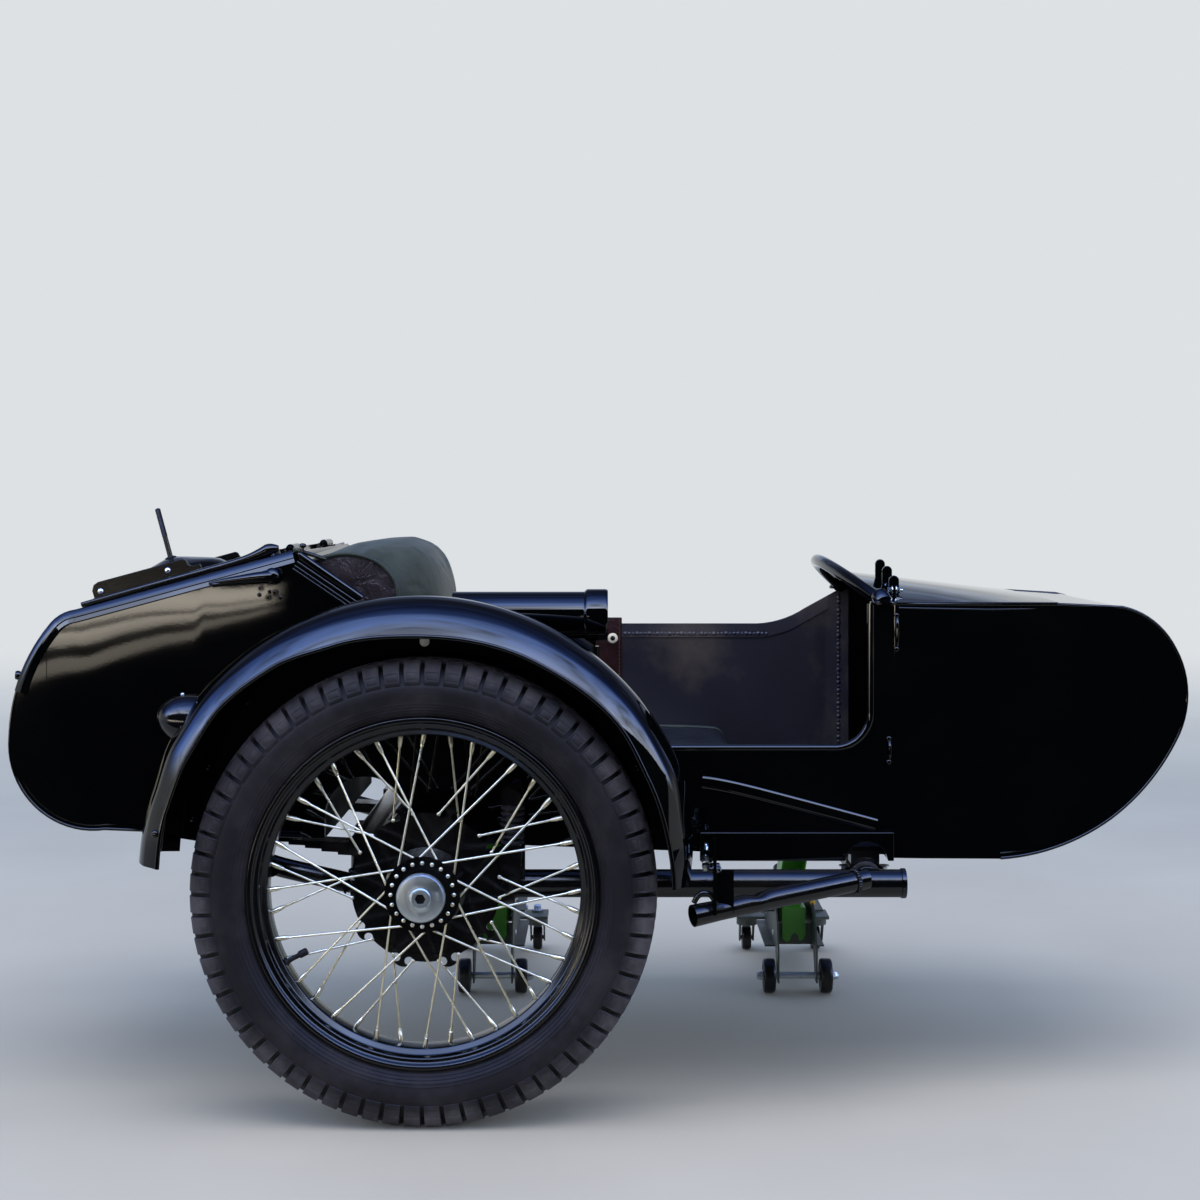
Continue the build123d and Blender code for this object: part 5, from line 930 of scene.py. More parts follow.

# Inside, the steel was brushed rather than sprayed: a duller black with lap marks, and a run
# of weld down the joint with the nose. Its blue-grey tone and brown blotches are painted sheen.
inner_enamel_painted_sheen = enamel("brushed_enamel_inside_painted_sheen", "#2A2B38", 0.33, orange_peel=0.4,
                      dust_and_sheen_code="#625A56", dust_and_sheen=1.0, waves=0.0016)
coat("tub_floor", enamel("underseal_floor", "#050505", 0.62, orange_peel=0.8, dust_and_sheen=0.2))
welds = bmesh.new()
weld_steps = 36
weld_runs = (((693, 686.2, 470), (693, 686.2, 742)), ((300, 686.5, 668), (560, 686.5, 668)))
for run, (start, end) in enumerate(weld_runs):
    for step in range(weld_steps):
        spot = Vector(start).lerp(Vector(end), step / (weld_steps - 1))
        bead = bmesh.ops.create_icosphere(welds, subdivisions=1,
                                          radius=4.2 + 0.9 * sin(step * 2.3 + run))["verts"]
        bmesh.ops.scale(welds, vec=(1.0, 0.6, 1.15), verts=bead)
        bmesh.ops.translate(welds, vec=spot, verts=bead)
piece("inner_welds", welds, inner_enamel_painted_sheen, "root", crease=80)


# Cockpit: the folded lip round the boot's top, the rolled edge behind the seat, the armrest
# tube with its beaded collar, the lever, and the iron at the feet of the grab handle.
def loft(bm, rows, ends=True):
    """Skins a row of closed outlines, and closes the first and the last one."""
    others = set(bm.faces)
    loops = []
    for row in rows:
        dots = [bm.verts.new(p) for p in row]
        loops.append([bm.edges.new(pair) for pair in zip(dots, dots[1:] + dots[:1])])
    for one, other in zip(loops, loops[1:]):
        bmesh.ops.bridge_loops(bm, edges=one + other)
    if ends:
        bmesh.ops.edgeloop_fill(bm, edges=loops[0] + loops[-1])
    face_out(bm, others)


def folded_lip(bm, edge, section, left):
    """Lays a folded strip along a panel's edge: section points as (outward, across)."""
    hand = -1 if left else 1
    middle = sum((Vector((x, 0, z)) for x, z in edge), Vector()) / len(edge) - Vector((0, 0, 260))
    rows = []
    for i, (x, z) in enumerate(edge):
        before, after = edge[max(i - 1, 0)], edge[min(i + 1, len(edge) - 1)]
        along = Vector((after[0] - before[0], 0, after[1] - before[1])).normalized()
        out = Vector((-along.z, 0, along.x))
        if out.dot(Vector((x, 0, z)) - middle) < 0:
            out = -out
        rows.append([Vector((x, side_at(x, left) + hand * a, z)) + out * o for o, a in section])
    loft(bm, rows)


lip_line = arc_through((-649, 618), (-616, 691), (-593, 722), 8)[:-1]
lip_line += arc_through((-593, 722), (-580, 733), (-556, 741.5), 5)
lip_line += [(-450, 770), (-330, 802.5), (-217, 833.5)]
lip_section = [(-17.6, 0.2), (-17.4, -4.4), (-15.8, -6.2), (-9.4, -3.4), (-8.2, -5.0), (-7.0, -4.4),
               (1.4, -0.6), (3.0, 2.2), (3.2, 13.0), (0.6, 14.0), (-0.4, 2.4), (-14.0, 1.4)]
lips = bmesh.new()
for left in (False, True):
    folded_lip(lips, lip_line, lip_section, left)
piece("boot_lip", lips, body_enamel, "root", crease=50)

rolled = bmesh.new()
back_edge = [(-214, 833), (-205, 826), (-112, 763)]
for left in (False, True):
    hand = -1 if left else 1
    stand = side_at(-150, left)
    for drop, proud, thick in ((0.0, 0.5, 4.6), (8.5, -0.6, 2.2), (15.5, -0.4, 1.7),
                               (21.0, 0.2, 1.4)):
        line = [(x - drop * 0.56, stand + hand * proud, z - drop * 0.83) for x, z in back_edge[1:]]
        rod(rolled, line, thick, around=3)
knob_line = [(0.0, 0.0), (5.0, 0.4), (5.2, 1.6), (2.2, 2.6), (2.0, 8.0), (4.6, 9.2), (5.6, 11.4),
             (4.6, 14.0), (2.0, 15.2), (0.0, 15.4)]
turn(rolled, knob_line, 20, place=(-203, 136, 832), along=(0.1, -0.1, 1))
piece("rolled_edges", rolled, body_enamel, "root", crease=50)
worn_edge = bmesh.new()
rod(worn_edge, [(-218, 140, 838), (-196, 143, 832), (-168, 146, 822)], 3.4, smooth=True, around=3)
old_green = enamel("worn_green_undercoat", "#14160F", 0.45, orange_peel=1.0, dust_and_sheen_code="#93A48C",
                   dust_and_sheen=1.0)
piece("worn_edge", worn_edge, old_green, "root", crease=50)

lever_bm = bmesh.new()
turn(lever_bm, [(0.0, -1.0), (9.0, -1.0), (9.6, 4.0), (8.2, 8.0), (10.6, 11.0), (12.2, 15.0),
                (12.4, 19.0), (10.4, 23.6), (5.0, 26.4), (0.0, 27.0)], 32, place=(-245, 131, 797),
                along=(0, -1, 0.05))
rod(lever_bm, [(-245, 112, 797), (-262, 111, 796), (-290, 111.5, 793), (-322, 112.5, 789),
               (-342, 113, 786)], 9.5,
    smooth=True, around=6, taper=[1.0, 0.96, 0.72, 0.5, 0.26])
for nut_x, nut_z in ((-266.0, 778.0), (-244.0, 771.0), (-254.0, 764.0)):
    hex_bolt(lever_bm, (nut_x, side_y + 0.5, nut_z), (0, -1, 0), 7.5, washer=6.0, tail=2.5)
turn(lever_bm, [(0.0, -3.0), (4.6, -3.0), (4.6, 5.0), (6.6, 6.0), (7.4, 9.5), (6.2, 13.0),
                (0.0, 14.4)], 20,
     place=(-640, 160, 641), along=(-1, -0.2, 0.05))
piece("side_lever", lever_bm, body_enamel, "root", crease=40)

armrest_bm = bmesh.new()
tube_line = [(34.0, 3.0), (34.0, 0.8), (34.8, 0.0), (35.4, 0.2), (36.0, 1.2), (36.0, 201.5),
             (37.0, 203.6), (39.0, 205.0), (40.0, 207.6), (40.0, 234.0), (39.6, 236.8),
             (38.2, 238.8), (36.4, 238.8), (35.0, 237.0), (34.2, 233.0), (34.0, 226.0)]
turn(armrest_bm, tube_line, 64, place=(30, 131, 737), along=(1, 0, 0), ring=True)
piece("armrest_pipe", armrest_bm, body_enamel, "root", ["armrest_tube"], crease=50)
plug_bm = bmesh.new()
turn(plug_bm, [(0.0, 5.6), (20.0, 5.0), (30.0, 3.6), (34.2, 2.4)], 40, place=(30, 131, 737),
     along=(1, 0, 0))
piece("armrest_plug", plug_bm, body_enamel, "root", crease=50)

handle_feet = bmesh.new()
for foot_y, hand in ((144.0, 1), (676.0, -1)):
    lean = Vector((-0.28, hand * 0.62, 0.74))
    base = Vector((696, foot_y, 754))
    turn(handle_feet, [(0.0, -2.0), (21.0, -2.0), (21.6, 0.4), (20.8, 3.4), (0.0, 4.0)], 32,
         place=base, along=(0, 0, 1))
    turn(handle_feet, [(0.0, 3.0), (13.6, 3.0), (14.2, 6.0), (14.0, 17.0), (12.6, 19.4),
                       (10.0, 20.2)], 28, place=base, along=lean)
    for screw_x in (-15.0, 15.0):
        dome_head(handle_feet, base + Vector((screw_x, 0, 3.2)), (0, 0, 1), 4.2)
piece("handle_feet", handle_feet, body_enamel, "root", crease=40)
tab_bolts = bmesh.new()
for tab_y in (180.0, 252.0, 329.0):
    hex_bolt(tab_bolts, (719.4, tab_y, 773), (1, 0, 0), 9.0, washer=7.0, tail=5.0)
    hex_bolt(tab_bolts, (714.6, tab_y, 773), (-1, 0, 0), 9.0, washer=7.0)
piece("tab_bolts", tab_bolts, bright_zinc, "root", crease=28)

# Inner faces of both flanks take the brushed enamel, with uneven blotches of painted sheen.
for name, hand in (("tub_flank_left", -1), ("tub_flank_right", 1)):
    wall = bpy.data.objects[name].data
    wall.materials.append(inner_enamel_painted_sheen)
    for face in wall.polygons:
        if face.normal.y * hand > 0.6:
            face.material_index = 1


# Seat: a foam cushion and a raked back rest, each a band of grained green-black vinyl sewn
# with piping to side panels of soft dark leather, which pucker along the seam.
def grained(name, code, pale_code, rough, grain_mm, grain_deep, crease_deep):
    """Leather or grained vinyl: close pebbled grain, soft creases, and a dull sheen that is
    paler where it has been rubbed."""
    made, tree, spot = principled(name, specular=0.14)
    cloud = add(tree, "ShaderNodeTexNoise", {"Vector": spot, "Scale": 9.0, "Detail": 6.0,
                                             "Roughness": 0.6})
    rub = add(tree, "ShaderNodeMapRange", {"Value": cloud.outputs["Fac"], "From Min": 0.4,
                                           "From Max": 0.72})
    tone = add(tree, "ShaderNodeMix", {0: rub.outputs[0], 6: linear(code), 7: linear(pale_code)},
               data_type="RGBA")
    dull = add(tree, "ShaderNodeMapRange", {
        "Value": cloud.outputs["Fac"], "From Min": 0.3, "From Max": 0.75,
        "To Min": rough - 0.07, "To Max": rough + 0.1})
    pebble = add(tree, "ShaderNodeTexVoronoi", {"Vector": spot, "Scale": 1000.0 / grain_mm},
                 feature="SMOOTH_F1")
    fold = add(tree, "ShaderNodeTexNoise", {"Vector": spot, "Scale": 26.0, "Detail": 3.0,
                                            "Distortion": 1.4})
    soft = add(tree, "ShaderNodeBump", {"Height": fold.outputs["Fac"], "Strength": 1.0,
                                        "Distance": crease_deep})
    fine = add(tree, "ShaderNodeBump", {
        "Height": pebble.outputs["Distance"], "Strength": 1.0, "Distance": grain_deep,
        "Normal": soft.outputs[0]})
    feed(tree, tone, dull, fine)
    return made


band_vinyl = grained("grained_vinyl", "#2E3634", "#444D4A", 0.46, 2.4, 0.00025, 0.0010)
# The cushion's band is the same vinyl painted darker: painted shade deep in the tub; its paler
# patches are wear.
cushion_vinyl_painted_shade = grained("seat_vinyl_painted_shade", "#15171A", "#25282B", 0.5, 2.4, 0.00025, 0.0012)
side_leather = grained("soft_side_leather", "#252028", "#45414B", 0.33, 3.4, 0.0003, 0.0065)

seat_near, seat_far = 152.0, 668.0
seat_middle = (seat_near + seat_far) / 2
seam_in = 6.0


def settle(made):
    """Applies the object's modifiers to its mesh."""
    graph = bpy.context.evaluated_depsgraph_get()
    done = bpy.data.meshes.new_from_object(made.evaluated_get(graph))
    old = made.data
    made.modifiers.clear()
    made.data = done
    bpy.data.meshes.remove(old)


def bolster(name, node, side_line, middle_line, cover, cap, pressure):
    """A stuffed cushion: lofted across the tub from its side outline to its crowned middle,
    swollen by a cloth simulation whose seams are pinned, then given its two covers."""
    count = 15
    half_wide = (seat_far - seat_near) / 2 - seam_in
    rows = []
    for row in range(count):
        across = -1 + 2 * row / (count - 1)
        swell = 1 - abs(across) ** 4
        y = seat_middle + across * half_wide
        rows.append([(sx + (mx - sx) * swell, y, sz + (mz - sz) * swell)
                     for (sx, sz), (mx, mz) in zip(side_line, middle_line)])
    bm = bmesh.new()
    loft(bm, rows)
    made = piece(name, bm, cover, "root", [node])
    made.data.materials.append(side_leather)
    finer = made.modifiers.new("remesh", "REMESH")
    finer.mode = "VOXEL"
    finer.voxel_size = 0.007
    settle(made)
    rest = [v.co.copy() for v in made.data.vertices]
    seam = made.vertex_groups.new(name="seam")
    seams_at = [at(0, y, 0).y for y in (seat_near + seam_in, seat_far - seam_in)]
    held = [v.index for v in made.data.vertices if abs(v.normal.y) < 0.85
            and min(abs(v.co.y - y) for y in seams_at) < 0.006]
    seam.add(held, 1.0, "REPLACE")
    cloth = made.modifiers.new("cloth", "CLOTH")
    cloth.settings.use_pressure = True
    cloth.settings.uniform_pressure_force = pressure
    cloth.settings.vertex_group_mass = "seam"
    cloth.settings.effector_weights.gravity = 0.0
    cloth.settings.tension_stiffness = 12.0
    cloth.settings.bending_stiffness = 0.6
    for step in range(1, 21):
        bpy.context.scene.frame_set(step)
    settle(made)
    bpy.context.scene.frame_set(1)
    for v, old in zip(made.data.vertices, rest):
        moved = v.co - old
        if moved.length > cap / 1000:
            v.co = old + moved.normalized() * (cap / 1000)
    centre = at(0, seat_middle, 0).y
    side_from = half_wide / 1000 - 0.004
    for face in made.data.polygons:
        face.use_smooth = True
        on_side = abs(face.center.y - centre) > side_from and abs(face.normal.y) > 0.5
        face.material_index = int(on_side)
    smooth = made.modifiers.new("smooth", "SUBSURF")
    smooth.levels = smooth.render_levels = 1


back_side = [(-73, 513), (-58, 560), (-54, 650), (-54, 720), (-56, 772), (-60, 786), (-68, 799),
             (-82, 813), (-101, 823), (-125, 829), (-150, 829), (-178, 822), (-203, 812),
             (-186, 768), (-155, 690), (-120, 601), (-87, 517)]
back_middle = [(-50, 513), (-8, 560), (3, 650), (6, 720), (3, 766), (-3, 792), (-11, 816),
               (-22, 834), (-38, 844), (-64, 848), (-104, 846), (-146, 840)] + back_side[12:]
bolster("seat_back_rest", "seat_back", back_side, back_middle, band_vinyl, cap=3.5, pressure=2.0)
cushion_side = [(-50, 424), (476, 424), (480, 440), (480, 476), (474, 490), (460, 497), (300, 500),
                (100, 499), (-40, 497), (-66, 500)]
cushion_middle = [(-50, 424), (476, 424), (482, 440), (482, 482), (474, 498), (455, 506),
                  (300, 507), (100, 505), (-40, 500), (-66, 502)]
bolster("seat_cushion_pad", "seat_cushion", cushion_side, cushion_middle, cushion_vinyl_painted_shade, cap=6.0,
        pressure=3.0)

# Piping: a cord sewn into each seam, covered with the band's vinyl.
piping = bmesh.new()
for y in (seat_near + 5.0, seat_far - 5.0):
    rod(piping, [(x + (-2 if x < -54 else 1), y, z + 1.5) for x, z in back_side[:13]], 3.4,
        smooth=True, around=3)
    rod(piping, [(x, y, z + 1.5) for x, z in cushion_side[2:]], 3.4, smooth=True, around=3)
piece("seat_piping", piping, band_vinyl, "root", crease=60)


# Boot lid: a shallow pressed tray on two hinges, with the spare wheel's carrier on it, which
# is a pan-shaped seat between two folded plates, and a threaded stud. All ride on the lid.
boot_fall = atan2(94.0, 347.0)
stud_x, stud_y = -458, 410
up_slope = Vector((cos(boot_fall), 0, sin(boot_fall)))
off_boot = Vector((-sin(boot_fall), 0, cos(boot_fall)))
lid_enamel = enamel("sprayed_enamel_lid", "#050608", 0.07, orange_peel=0.15, dust_and_sheen=0.2,
                    waves=0.0008)
resurface("pressed_lid", ["boot_lid"], lid_enamel, round_off=2.2)


def on_lid(x, y, high):
    """A place over the lid's top face, at an X of the boot's top line."""
    along = (x + 213.0) / up_slope.x
    return Vector((-213, y, 834)) + up_slope * along + off_boot * (11.6 + high)


dish = bmesh.new()
dish_line = [(0.0, -1.0), (104.5, -1.0), (105.2, 1.0), (103.6, 4.0), (100.6, 18.0), (96.4, 27.0),
             (90.0, 33.6), (82.0, 37.6), (72.0, 39.6), (52.0, 40.6), (26.0, 41.2), (0.0, 41.4)]
turn(dish, dish_line, 72, place=on_lid(stud_x, stud_y, 0), along=off_boot)
plate_side = [(-84, 0), (90, 0), (92, 4), (91, 11), (76, 12), (73.5, 14), (71, 22.5), (67, 25.4),
              (-72, 25.4), (-80, 22.4), (-84.5, 14)]
for plate_y in (202.5, 612.5):
    loft(dish, [[on_lid(stud_x, y, v) + up_slope * u for u, v in plate_side]
                for y in (plate_y, plate_y + 5.0)])
for foot_y, hand in ((205.0, 1), (615.0, -1)):
    block = bmesh.ops.create_cube(dish, size=1.0)["verts"]
    bmesh.ops.scale(dish, vec=(172.0, 22.0, 2.6), verts=block)
    laid_on = Matrix.Translation(on_lid(stud_x, foot_y + hand * 10.0, 1.3))
    turned = Matrix.Rotation(-boot_fall, 4, "Y")
    bmesh.ops.transform(dish, matrix=laid_on @ turned, verts=block)
    for bolt_u in (-60.0, 0.0, 60.0):
        dome_head(dish, on_lid(stud_x, foot_y + hand * 13.0, 2.6) + up_slope * bolt_u, off_boot,
                  5.0)
carrier_enamel = enamel("brushed_enamel_carrier", "#040506", 0.16, orange_peel=0.5,
                        dust_and_sheen_code="#23221F", dust_and_sheen=0.4, specular=0.14)
wheel_seat = piece("wheel_seat", dish, carrier_enamel, "boot_lid", ["spare_carrier"],
                   crease=40)
ease(wheel_seat, 0.9, 50, even=False)
plate_bolts = bmesh.new()
for bolt_x, bolt_high in ((-527.0, 10.0), (-420.0, 14.0)):
    dome_head(plate_bolts, on_lid(bolt_x, 202.4, bolt_high), (0, -1, 0), 5.2, high=0.6)
    dome_head(plate_bolts, on_lid(bolt_x, 617.6, bolt_high), (0, 1, 0), 5.2, high=0.6)
piece("plate_bolts", plate_bolts, bright_zinc, "boot_lid")
stud_line = [(0.0, 0.0), (11.0, 0.0), (11.0, 5.0), (9.6, 6.4), (4.6, 7.0), (4.4, 40.0)]
for thread in range(30):
    stud_line += [(4.4, 41.0 + thread * 1.6), (5.0, 41.8 + thread * 1.6)]
stud_line += [(4.0, 89.4), (0.0, 90.0)]
stud_bm = bmesh.new()
turn(stud_bm, stud_line, 16, place=on_lid(stud_x, stud_y, 36.0), along=off_boot)
stud_black = enamel("oiled_black_stud", "#17140F", 0.3, orange_peel=0.6, dust_and_sheen_code="#4A3F30",
                    dust_and_sheen=0.8)
piece("threaded_stud", stud_bm, stud_black, "boot_lid", ["spare_stud"], crease=35)

# The lid's two long edges are folded over a wire. The near one has sprung up at its front.
fold_bm = bmesh.new()
near_fold = ((-544, -4), (-450, -3), (-350, -3), (-290, -2.5), (-262, 1), (-250, 4), (-238, 1))
rod(fold_bm, [on_lid(x, 144.5, high) for x, high in near_fold], 5.0, smooth=True, around=4,
    taper=[0.8, 1.0, 1.0, 1.1, 1.7, 2.0, 0.9])
rod(fold_bm, [on_lid(x, 675.5, -3) for x in (-540, -400, -250)], 5.0, smooth=True, around=4)
piece("lid_folds", fold_bm, lid_enamel, "boot_lid", crease=60)


# Trim strip on the far wall: a leather panel, sewn round its edge and held by a snap.
trim_bm = bmesh.new()
block = bmesh.ops.create_cube(trim_bm, size=1.0)["verts"]
bmesh.ops.scale(trim_bm, vec=(257.0, 4.4, 174.0), verts=block)
bmesh.ops.translate(trim_bm, vec=(165.5, 685.2, 611.0), verts=block)
bmesh.ops.bevel(trim_bm, geom=trim_bm.edges[:], offset=1.8, segments=3, profile=0.5, affect="EDGES",
                material=-1)
wall_leather = grained("oxblood_trim_leather", "#221113", "#362023", 0.42, 2.8, 0.0003, 0.0016)
piece("trim_leather", trim_bm, wall_leather, "root", ["trim_panel"], crease=50)
stitch_bm = bmesh.new()
stitch_pitch, stitch_long, trim_face_y = 7.0, 4.8, 682.8
for count, first, way in ((24, Vector((289, 0, 528)), Vector((0, 0, 1))),
                          (34, Vector((44, 0, 693)), Vector((1, 0, 0)))):
    for stitch in range(count):
        foot = first + way * stitch * stitch_pitch
        rod(stitch_bm, [foot + way * stitch_long * share + Vector((0, y, 0))
                        for share, y in ((0.0, trim_face_y), (0.5, trim_face_y - 0.9),
                                         (1.0, trim_face_y))],
            0.6, around=1)
thread = grained("waxed_thread", "#5A4A44", "#7A6A60", 0.5, 1.5, 0.0001, 0.0002)
piece("trim_stitches", stitch_bm, thread, "root", crease=60)
snap_bm = bmesh.new()
turn(snap_bm, [(3.4, 0.0), (9.0, 0.0), (9.4, 1.4), (8.2, 2.6), (4.4, 2.8), (3.4, 1.6)], 28,
     place=(277, 683, 660), along=(0, -1, 0), ring=True)
piece("trim_snap", snap_bm, white_touch, "root", crease=50)
snap_core = bmesh.new()
dome_head(snap_core, (277, 681.0, 660), (0, -1, 0), 5.0, high=0.4)
piece("snap_core", snap_core, dark_steel_and_shade, "root")


# Trailing arm, damper and stays: castings and plate, brushed black. The damper between the
# arm and the frame wears a ribbed rubber boot, and the axle is held by a castle nut.
cast_black = enamel("brushed_enamel_casting", "#0A0A0C", 0.22, orange_peel=0.9, dust_and_sheen_code="#37332C",
                    dust_and_sheen=0.5)
arm_iron = bmesh.new()
hex_bolt(arm_iron, (0, 66.5, wheel_z), (0, 1, 0), 24.0, washer=19.0, tail=7.0)
hex_bolt(arm_iron, (126, 72, 468), (0, 1, 0), 15.0, washer=12.0, tail=5.0)
for arm_x in (87.0, 123.0):
    hex_bolt(arm_iron, (arm_x, 90, 310), (0, 0, -1), 12.0, washer=9.5)
piece("arm_nuts", arm_iron, bright_zinc, "root", crease=28)
boot_bm = bmesh.new()
boot_line = [(0.0, 396.6), (12.6, 396.8)]
for rib in range(7):
    foot = 397.5 + rib * 8.5
    boot_line += [(12.8, foot), (17.0, foot + 2.2), (18.0, foot + 4.2), (17.0, foot + 6.2),
                  (12.8, foot + 8.3)]
turn(boot_bm, boot_line + [(0.0, 457.5)], 32, place=(126, 56, 0), along=(0, 0, 1))
piece("damper_boot", boot_bm, rubber, "root", crease=50)


# Chassis: drawn steel tube, brushed gloss black, with rough welds where tubes meet. The open
# outrigger has been knocked: its end is oval and its top is creased.
chassis_enamel = enamel("brushed_enamel_chassis", "#060709", 0.13, orange_peel=0.35,
                        dust_and_sheen_code="#3A362F", dust_and_sheen=0.3, waves=0.0004)
for name, nodes, finish, crease, eased in (
    ("tube_right", ["frame_right_tube"], chassis_enamel, 40, 0.0),
    ("tube_left", ["frame_left_tube"], chassis_enamel, 40, 0.0),
    ("cross_front", ["frame_front_cross"], chassis_enamel, 40, 0.0),
    ("cross_rear", ["frame_rear_cross"], chassis_enamel, 40, 0.0),
    ("loop_rear", ["frame_rear_loop"], chassis_enamel, 60, 0.0),
    ("mount_blocks", ["front_mounts"], chassis_enamel, 30, 1.6),
    ("spring_leaves", ["leaf_springs"], cast_black, 25, 0.7),
    ("lugs_left", ["strut_lugs"], cast_black, 30, 1.2),
    ("ball_arm_front", ["front_ball_arm"], cast_black, 40, 0.8),
    ("ball_arm_rear", ["rear_ball_arm"], cast_black, 40, 0.8),
    ("arm_casting", ["swing_arm"], cast_black, 30, 1.6),
    ("damper_body", ["shock_absorber"], cast_black, 30, 1.0),
    ("stay_plate", ["fender_stay"], body_enamel, 30, 0.8),
    ("rear_strap", ["fender_rear_stay"], body_enamel, 30, 0.8),
    ("grab_rail", ["grab_handle"], body_enamel, 60, 0.0),
):
    resurface(name, nodes, finish, crease=crease, round_off=eased, flatten=0.3)


def weld(bm, place, along, radius, size=3.0, start=0.0, span=360.0):
    """A ring of weld: overlapping ripples round a joint."""
    stand = facing(place, along)
    steps = max(8, int(radians(span) * radius / (size * 1.15)))
    for step in range(steps):
        turn_to = radians(start + span * step / steps)
        swell = size * (1.0 + 0.16 * sin(step * 2.7))
        ripple = bmesh.ops.create_icosphere(bm, subdivisions=1, radius=swell)["verts"]
        spot = stand @ Vector((radius * cos(turn_to), radius * sin(turn_to), 0.0))
        bmesh.ops.translate(bm, vec=spot, verts=ripple)


joint_welds = bmesh.new()
tube_right_y, tube_left_y, tube_z = 90.0, 745.0, 332
for tube_y, inward in ((tube_right_y, 1), (tube_left_y, -1)):
    weld(joint_welds, (666, tube_y + inward * 19.5, tube_z), (0, 1, 0), 19.5)
    weld(joint_welds, (-105, tube_y, 352), (0, 0, 1), 17.5)
outrigger_along = Vector((276, 112, 31)).normalized()
outrigger_foot = Vector((392, -40, 313))
weld(joint_welds, outrigger_foot + outrigger_along * 270, outrigger_along, 16.5, size=3.6)
weld(joint_welds, (425, -26, 322), (0, 0, 1), 15.0, size=3.0)
piece("joint_welds", joint_welds, chassis_enamel, "root", crease=80)

outrigger_bm = bmesh.new()
side_on = outrigger_along.cross(Vector((0, 0, 1))).normalized()
top_on = side_on.cross(outrigger_along).normalized()
tube_r, bore_deep = 15.2, 90.0
around_it, down_it = 36, 60
outer_rows, inner_rows = [], []
for step in range(down_it + 1):
    reach = 290.0 * step / down_it
    flare = 1.0 + 0.06 * max(0.0, 1 - reach / 40.0)
    dent = 0.30 * exp(-((reach - 104.0) / 13.0) ** 2) + 0.10 * exp(-((reach - 62.0) / 30.0) ** 2)
    droop = 1.5 * max(0.0, 1 - reach / bore_deep)
    centre = outrigger_foot + outrigger_along * reach - Vector((0, 0, droop))
    for rows, thick in ((outer_rows, 0.0), (inner_rows, 2.2)):
        if thick and reach > bore_deep:
            continue
        wide = tube_r * flare * (1 + 0.35 * dent) - thick
        row = []
        for turn_step in range(around_it):
            angle = 2 * pi * turn_step / around_it
            high = tube_r * flare * (1.0 - dent * max(0.0, sin(angle)) ** 1.5) - thick
            row.append(centre + side_on * cos(angle) * wide + top_on * sin(angle) * high)
        rows.append(row)
loft(outrigger_bm, inner_rows[::-1] + outer_rows, ends=False)
piece("dented_outrigger", outrigger_bm, chassis_enamel, "root", ["outrigger"],
      crease=50)

# Caps, bushes and bolts of the chassis, and the clamps round each pack of springs.
chassis_iron = bmesh.new()
cap_line = [(0.0, 2.4), (12.0, 2.2), (17.0, 1.2), (18.6, -0.4), (20.0, 0.8), (22.2, 0.6),
            (22.6, -1.0), (22.6, -6.0), (21.0, -7.0)]
for tube_y in (tube_right_y, tube_left_y):
    turn(chassis_iron, cap_line, 40, place=(720, tube_y, tube_z), along=(1, 0, 0))
rod(chassis_iron, [(394, -36, 330), (399, -38, 342), (412, -39, 346), (424, -37, 336),
                   (427, -34, 320)], 4.2, smooth=True, around=4)
piece("tube_caps", chassis_iron, chassis_enamel, "root", crease=40)
bush_bm = bmesh.new()
for bush_y in (134.0, 166.0, 654.0, 686.0):
    turn(bush_bm, [(19.2, -3.0), (24.0, -3.0), (26.2, -1.0), (26.2, 1.0), (24.0, 3.0), (19.2, 3.0)],
         32, place=(666, bush_y, tube_z), along=(0, 1, 0), ring=True)
piece("mount_rubbers", bush_bm, rubber, "root", crease=50)
chassis_bolts = bmesh.new()
for bolt_y in (150.0, 670.0):
    for bolt_x in (636.0, 696.0):
        hex_bolt(chassis_bolts, (bolt_x, bolt_y, 348), (0, 0, -1), 11.0, washer=9.0, tail=6.0)
for pack_y in (225.0, 595.0):
    for side_off in (-27.0, 27.0):
        hex_bolt(chassis_bolts, (-122, pack_y + side_off, 353), (0, 0, -1), 10.0, tail=5.0)
        rod(chassis_bolts, [(-122, pack_y + side_off, 344), (-122, pack_y + side_off, 398)], 3.6,
            around=3)
for lug_x in (560.0, 20.0):
    hex_bolt(chassis_bolts, (lug_x, 740, tube_z), (0, -0.05, -1), 9.0)
piece("chassis_bolts", chassis_bolts, bright_zinc, "root", crease=28)


# Jacks: folded side plates in dull grey, a green lift arm chipped at its edges, a black
# pump unit, and solid black wheels on a bright rod.
chipped_green = enamel("chipped_green_paint", "#3C9414", 0.28, orange_peel=0.5, dust_and_sheen_code="#62B23A",
                       dust_and_sheen=0.7, specular=0.5)
grey_plate = enamel("dull_grey_paint", "#464E49", 0.4, orange_peel=0.5, dust_and_sheen_code="#6B736C",
                    dust_and_sheen=0.8, specular=0.5)
pump_black = enamel("rough_black_paint", "#121313", 0.34, orange_peel=0.9, dust_and_sheen_code="#46423A",
                    dust_and_sheen=0.7)
roller_black = enamel("moulded_nylon_roller", "#0E0E10", 0.3, orange_peel=0.6, dust_and_sheen_code="#4C4943",
                      dust_and_sheen=0.8)
dull_zinc = plated("dull_zinc_plate", "#D5DADB", 0.4, 0.4, "#9DA3A4")
resurface("jack_plates", ["jack_side_plates"], grey_plate, round_off=0.9)
resurface("jack_arms", ["jack_lift_arms"], chipped_green, round_off=1.6)
resurface("jack_pumps", ["jack_hydraulics"], pump_black, round_off=1.2)
cheek_line = [(-22, 143), (22, 143), (22, 92), (17, 82), (10, 80), (8, 90), (2, 95), (-4, 92),
              (-7, 82), (-14, 77), (-22, 84)]
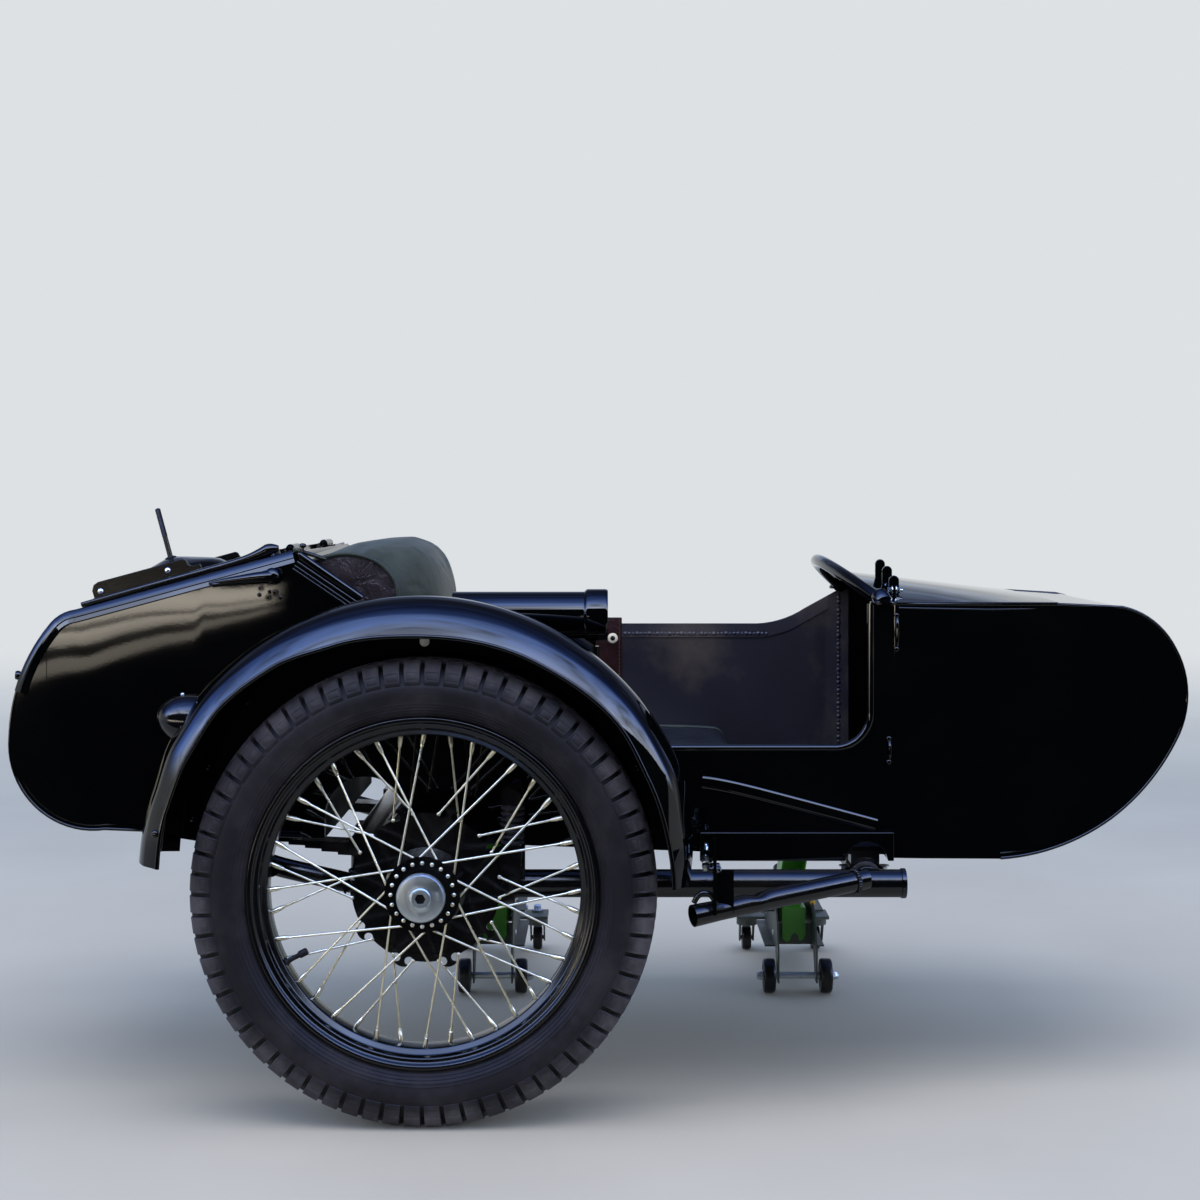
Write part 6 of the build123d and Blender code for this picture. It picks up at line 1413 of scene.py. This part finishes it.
wheel_half = [(6.2, -10.4), (9.0, -10.6), (14.0, -9.0), (21.0, -8.4), (25.0, -10.4), (28.6, -10.6),
              (30.6, -8.6), (31.0, -5.0)]
wheel_line = wheel_half + [(r, -a) for r, a in reversed(wheel_half)]
rod_line = [(0.0, -76.0), (5.0, -76.0), (6.0, -74.6), (6.0, 74.6), (5.0, 76.0), (0.0, 76.0)]
nut_line = [(6.0, 63.6), (10.6, 63.6), (10.6, 65.2), (8.8, 65.6), (8.6, 70.4), (7.0, 73.6),
            (3.0, 75.6), (0.0, 76.2)]
axle_y, axle_z = 717, 31
jack_iron = bmesh.new()
for jack, jack_x in (("jack_1", 620.0), ("jack_2", 55.0)):
    for letter, hand in (("a", -1), ("b", 1)):
        resurface(f"{jack}_fork_{letter}", [f"{jack}_caster_{letter}_fork"], grey_plate,
                  round_off=0.7)
        resurface(f"{jack}_roller_skin_{letter}", [f"{jack}_caster_{letter}_wheel"], roller_black,
                  crease=40)
        hex_bolt(jack_iron, (jack_x + hand * 37, 952, 105), (hand, 0, 0), 17.0, washer=12.0,
                 tail=6.0)
        hex_bolt(jack_iron, (jack_x + hand * 70, 1037, 82), (0, 0, 1), 14.0, washer=10.0)
        dome_head(jack_iron, (jack_x + hand * 37, 800, 92), (hand, 0, 0), 6.0)
    cheek_bm = bmesh.new()
    loft(cheek_bm, [[(jack_x + x, y, z) for x, z in cheek_line] for y in (780.0, 846.0)])
    piece(jack + "_arm_cheek", cheek_bm, chipped_green, "root", crease=40)
    wheels_bm = bmesh.new()
    axle_bm = bmesh.new()
    turn(axle_bm, rod_line, 24, place=(jack_x, axle_y, axle_z), along=(1, 0, 0))
    for hand in (-1, 1):
        turn(wheels_bm, wheel_line, 44, place=(jack_x + hand * 52.5, axle_y, axle_z),
             along=(1, 0, 0), ring=True)
        turn(axle_bm, nut_line, 6, place=(jack_x, axle_y, axle_z), along=(hand, 0, 0))
    node = jack + "_front_wheels"
    body = frame["nodes"][node]["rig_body"]
    piece(node + "_turned", wheels_bm, roller_black, body, [node], crease=40)
    piece(jack + "_bright_axle", axle_bm, dull_zinc, body, crease=30)
piece("jack_bolts", jack_iron, dull_zinc, "root", crease=28)
grease_cap = bmesh.new()
turn(grease_cap, [(0.0, 0.0), (5.0, 0.0), (5.4, 6.0), (4.6, 9.0), (0.0, 9.6)], 20,
     place=(655.5, 785, 148.5), along=(0, 0, 1))
yellow_cap = enamel("yellow_plastic_cap", "#D8B23A", 0.35, dust_and_sheen_code="#B89A48", dust_and_sheen=0.4)
piece("grease_cap", grease_cap, yellow_cap, "root", crease=40)
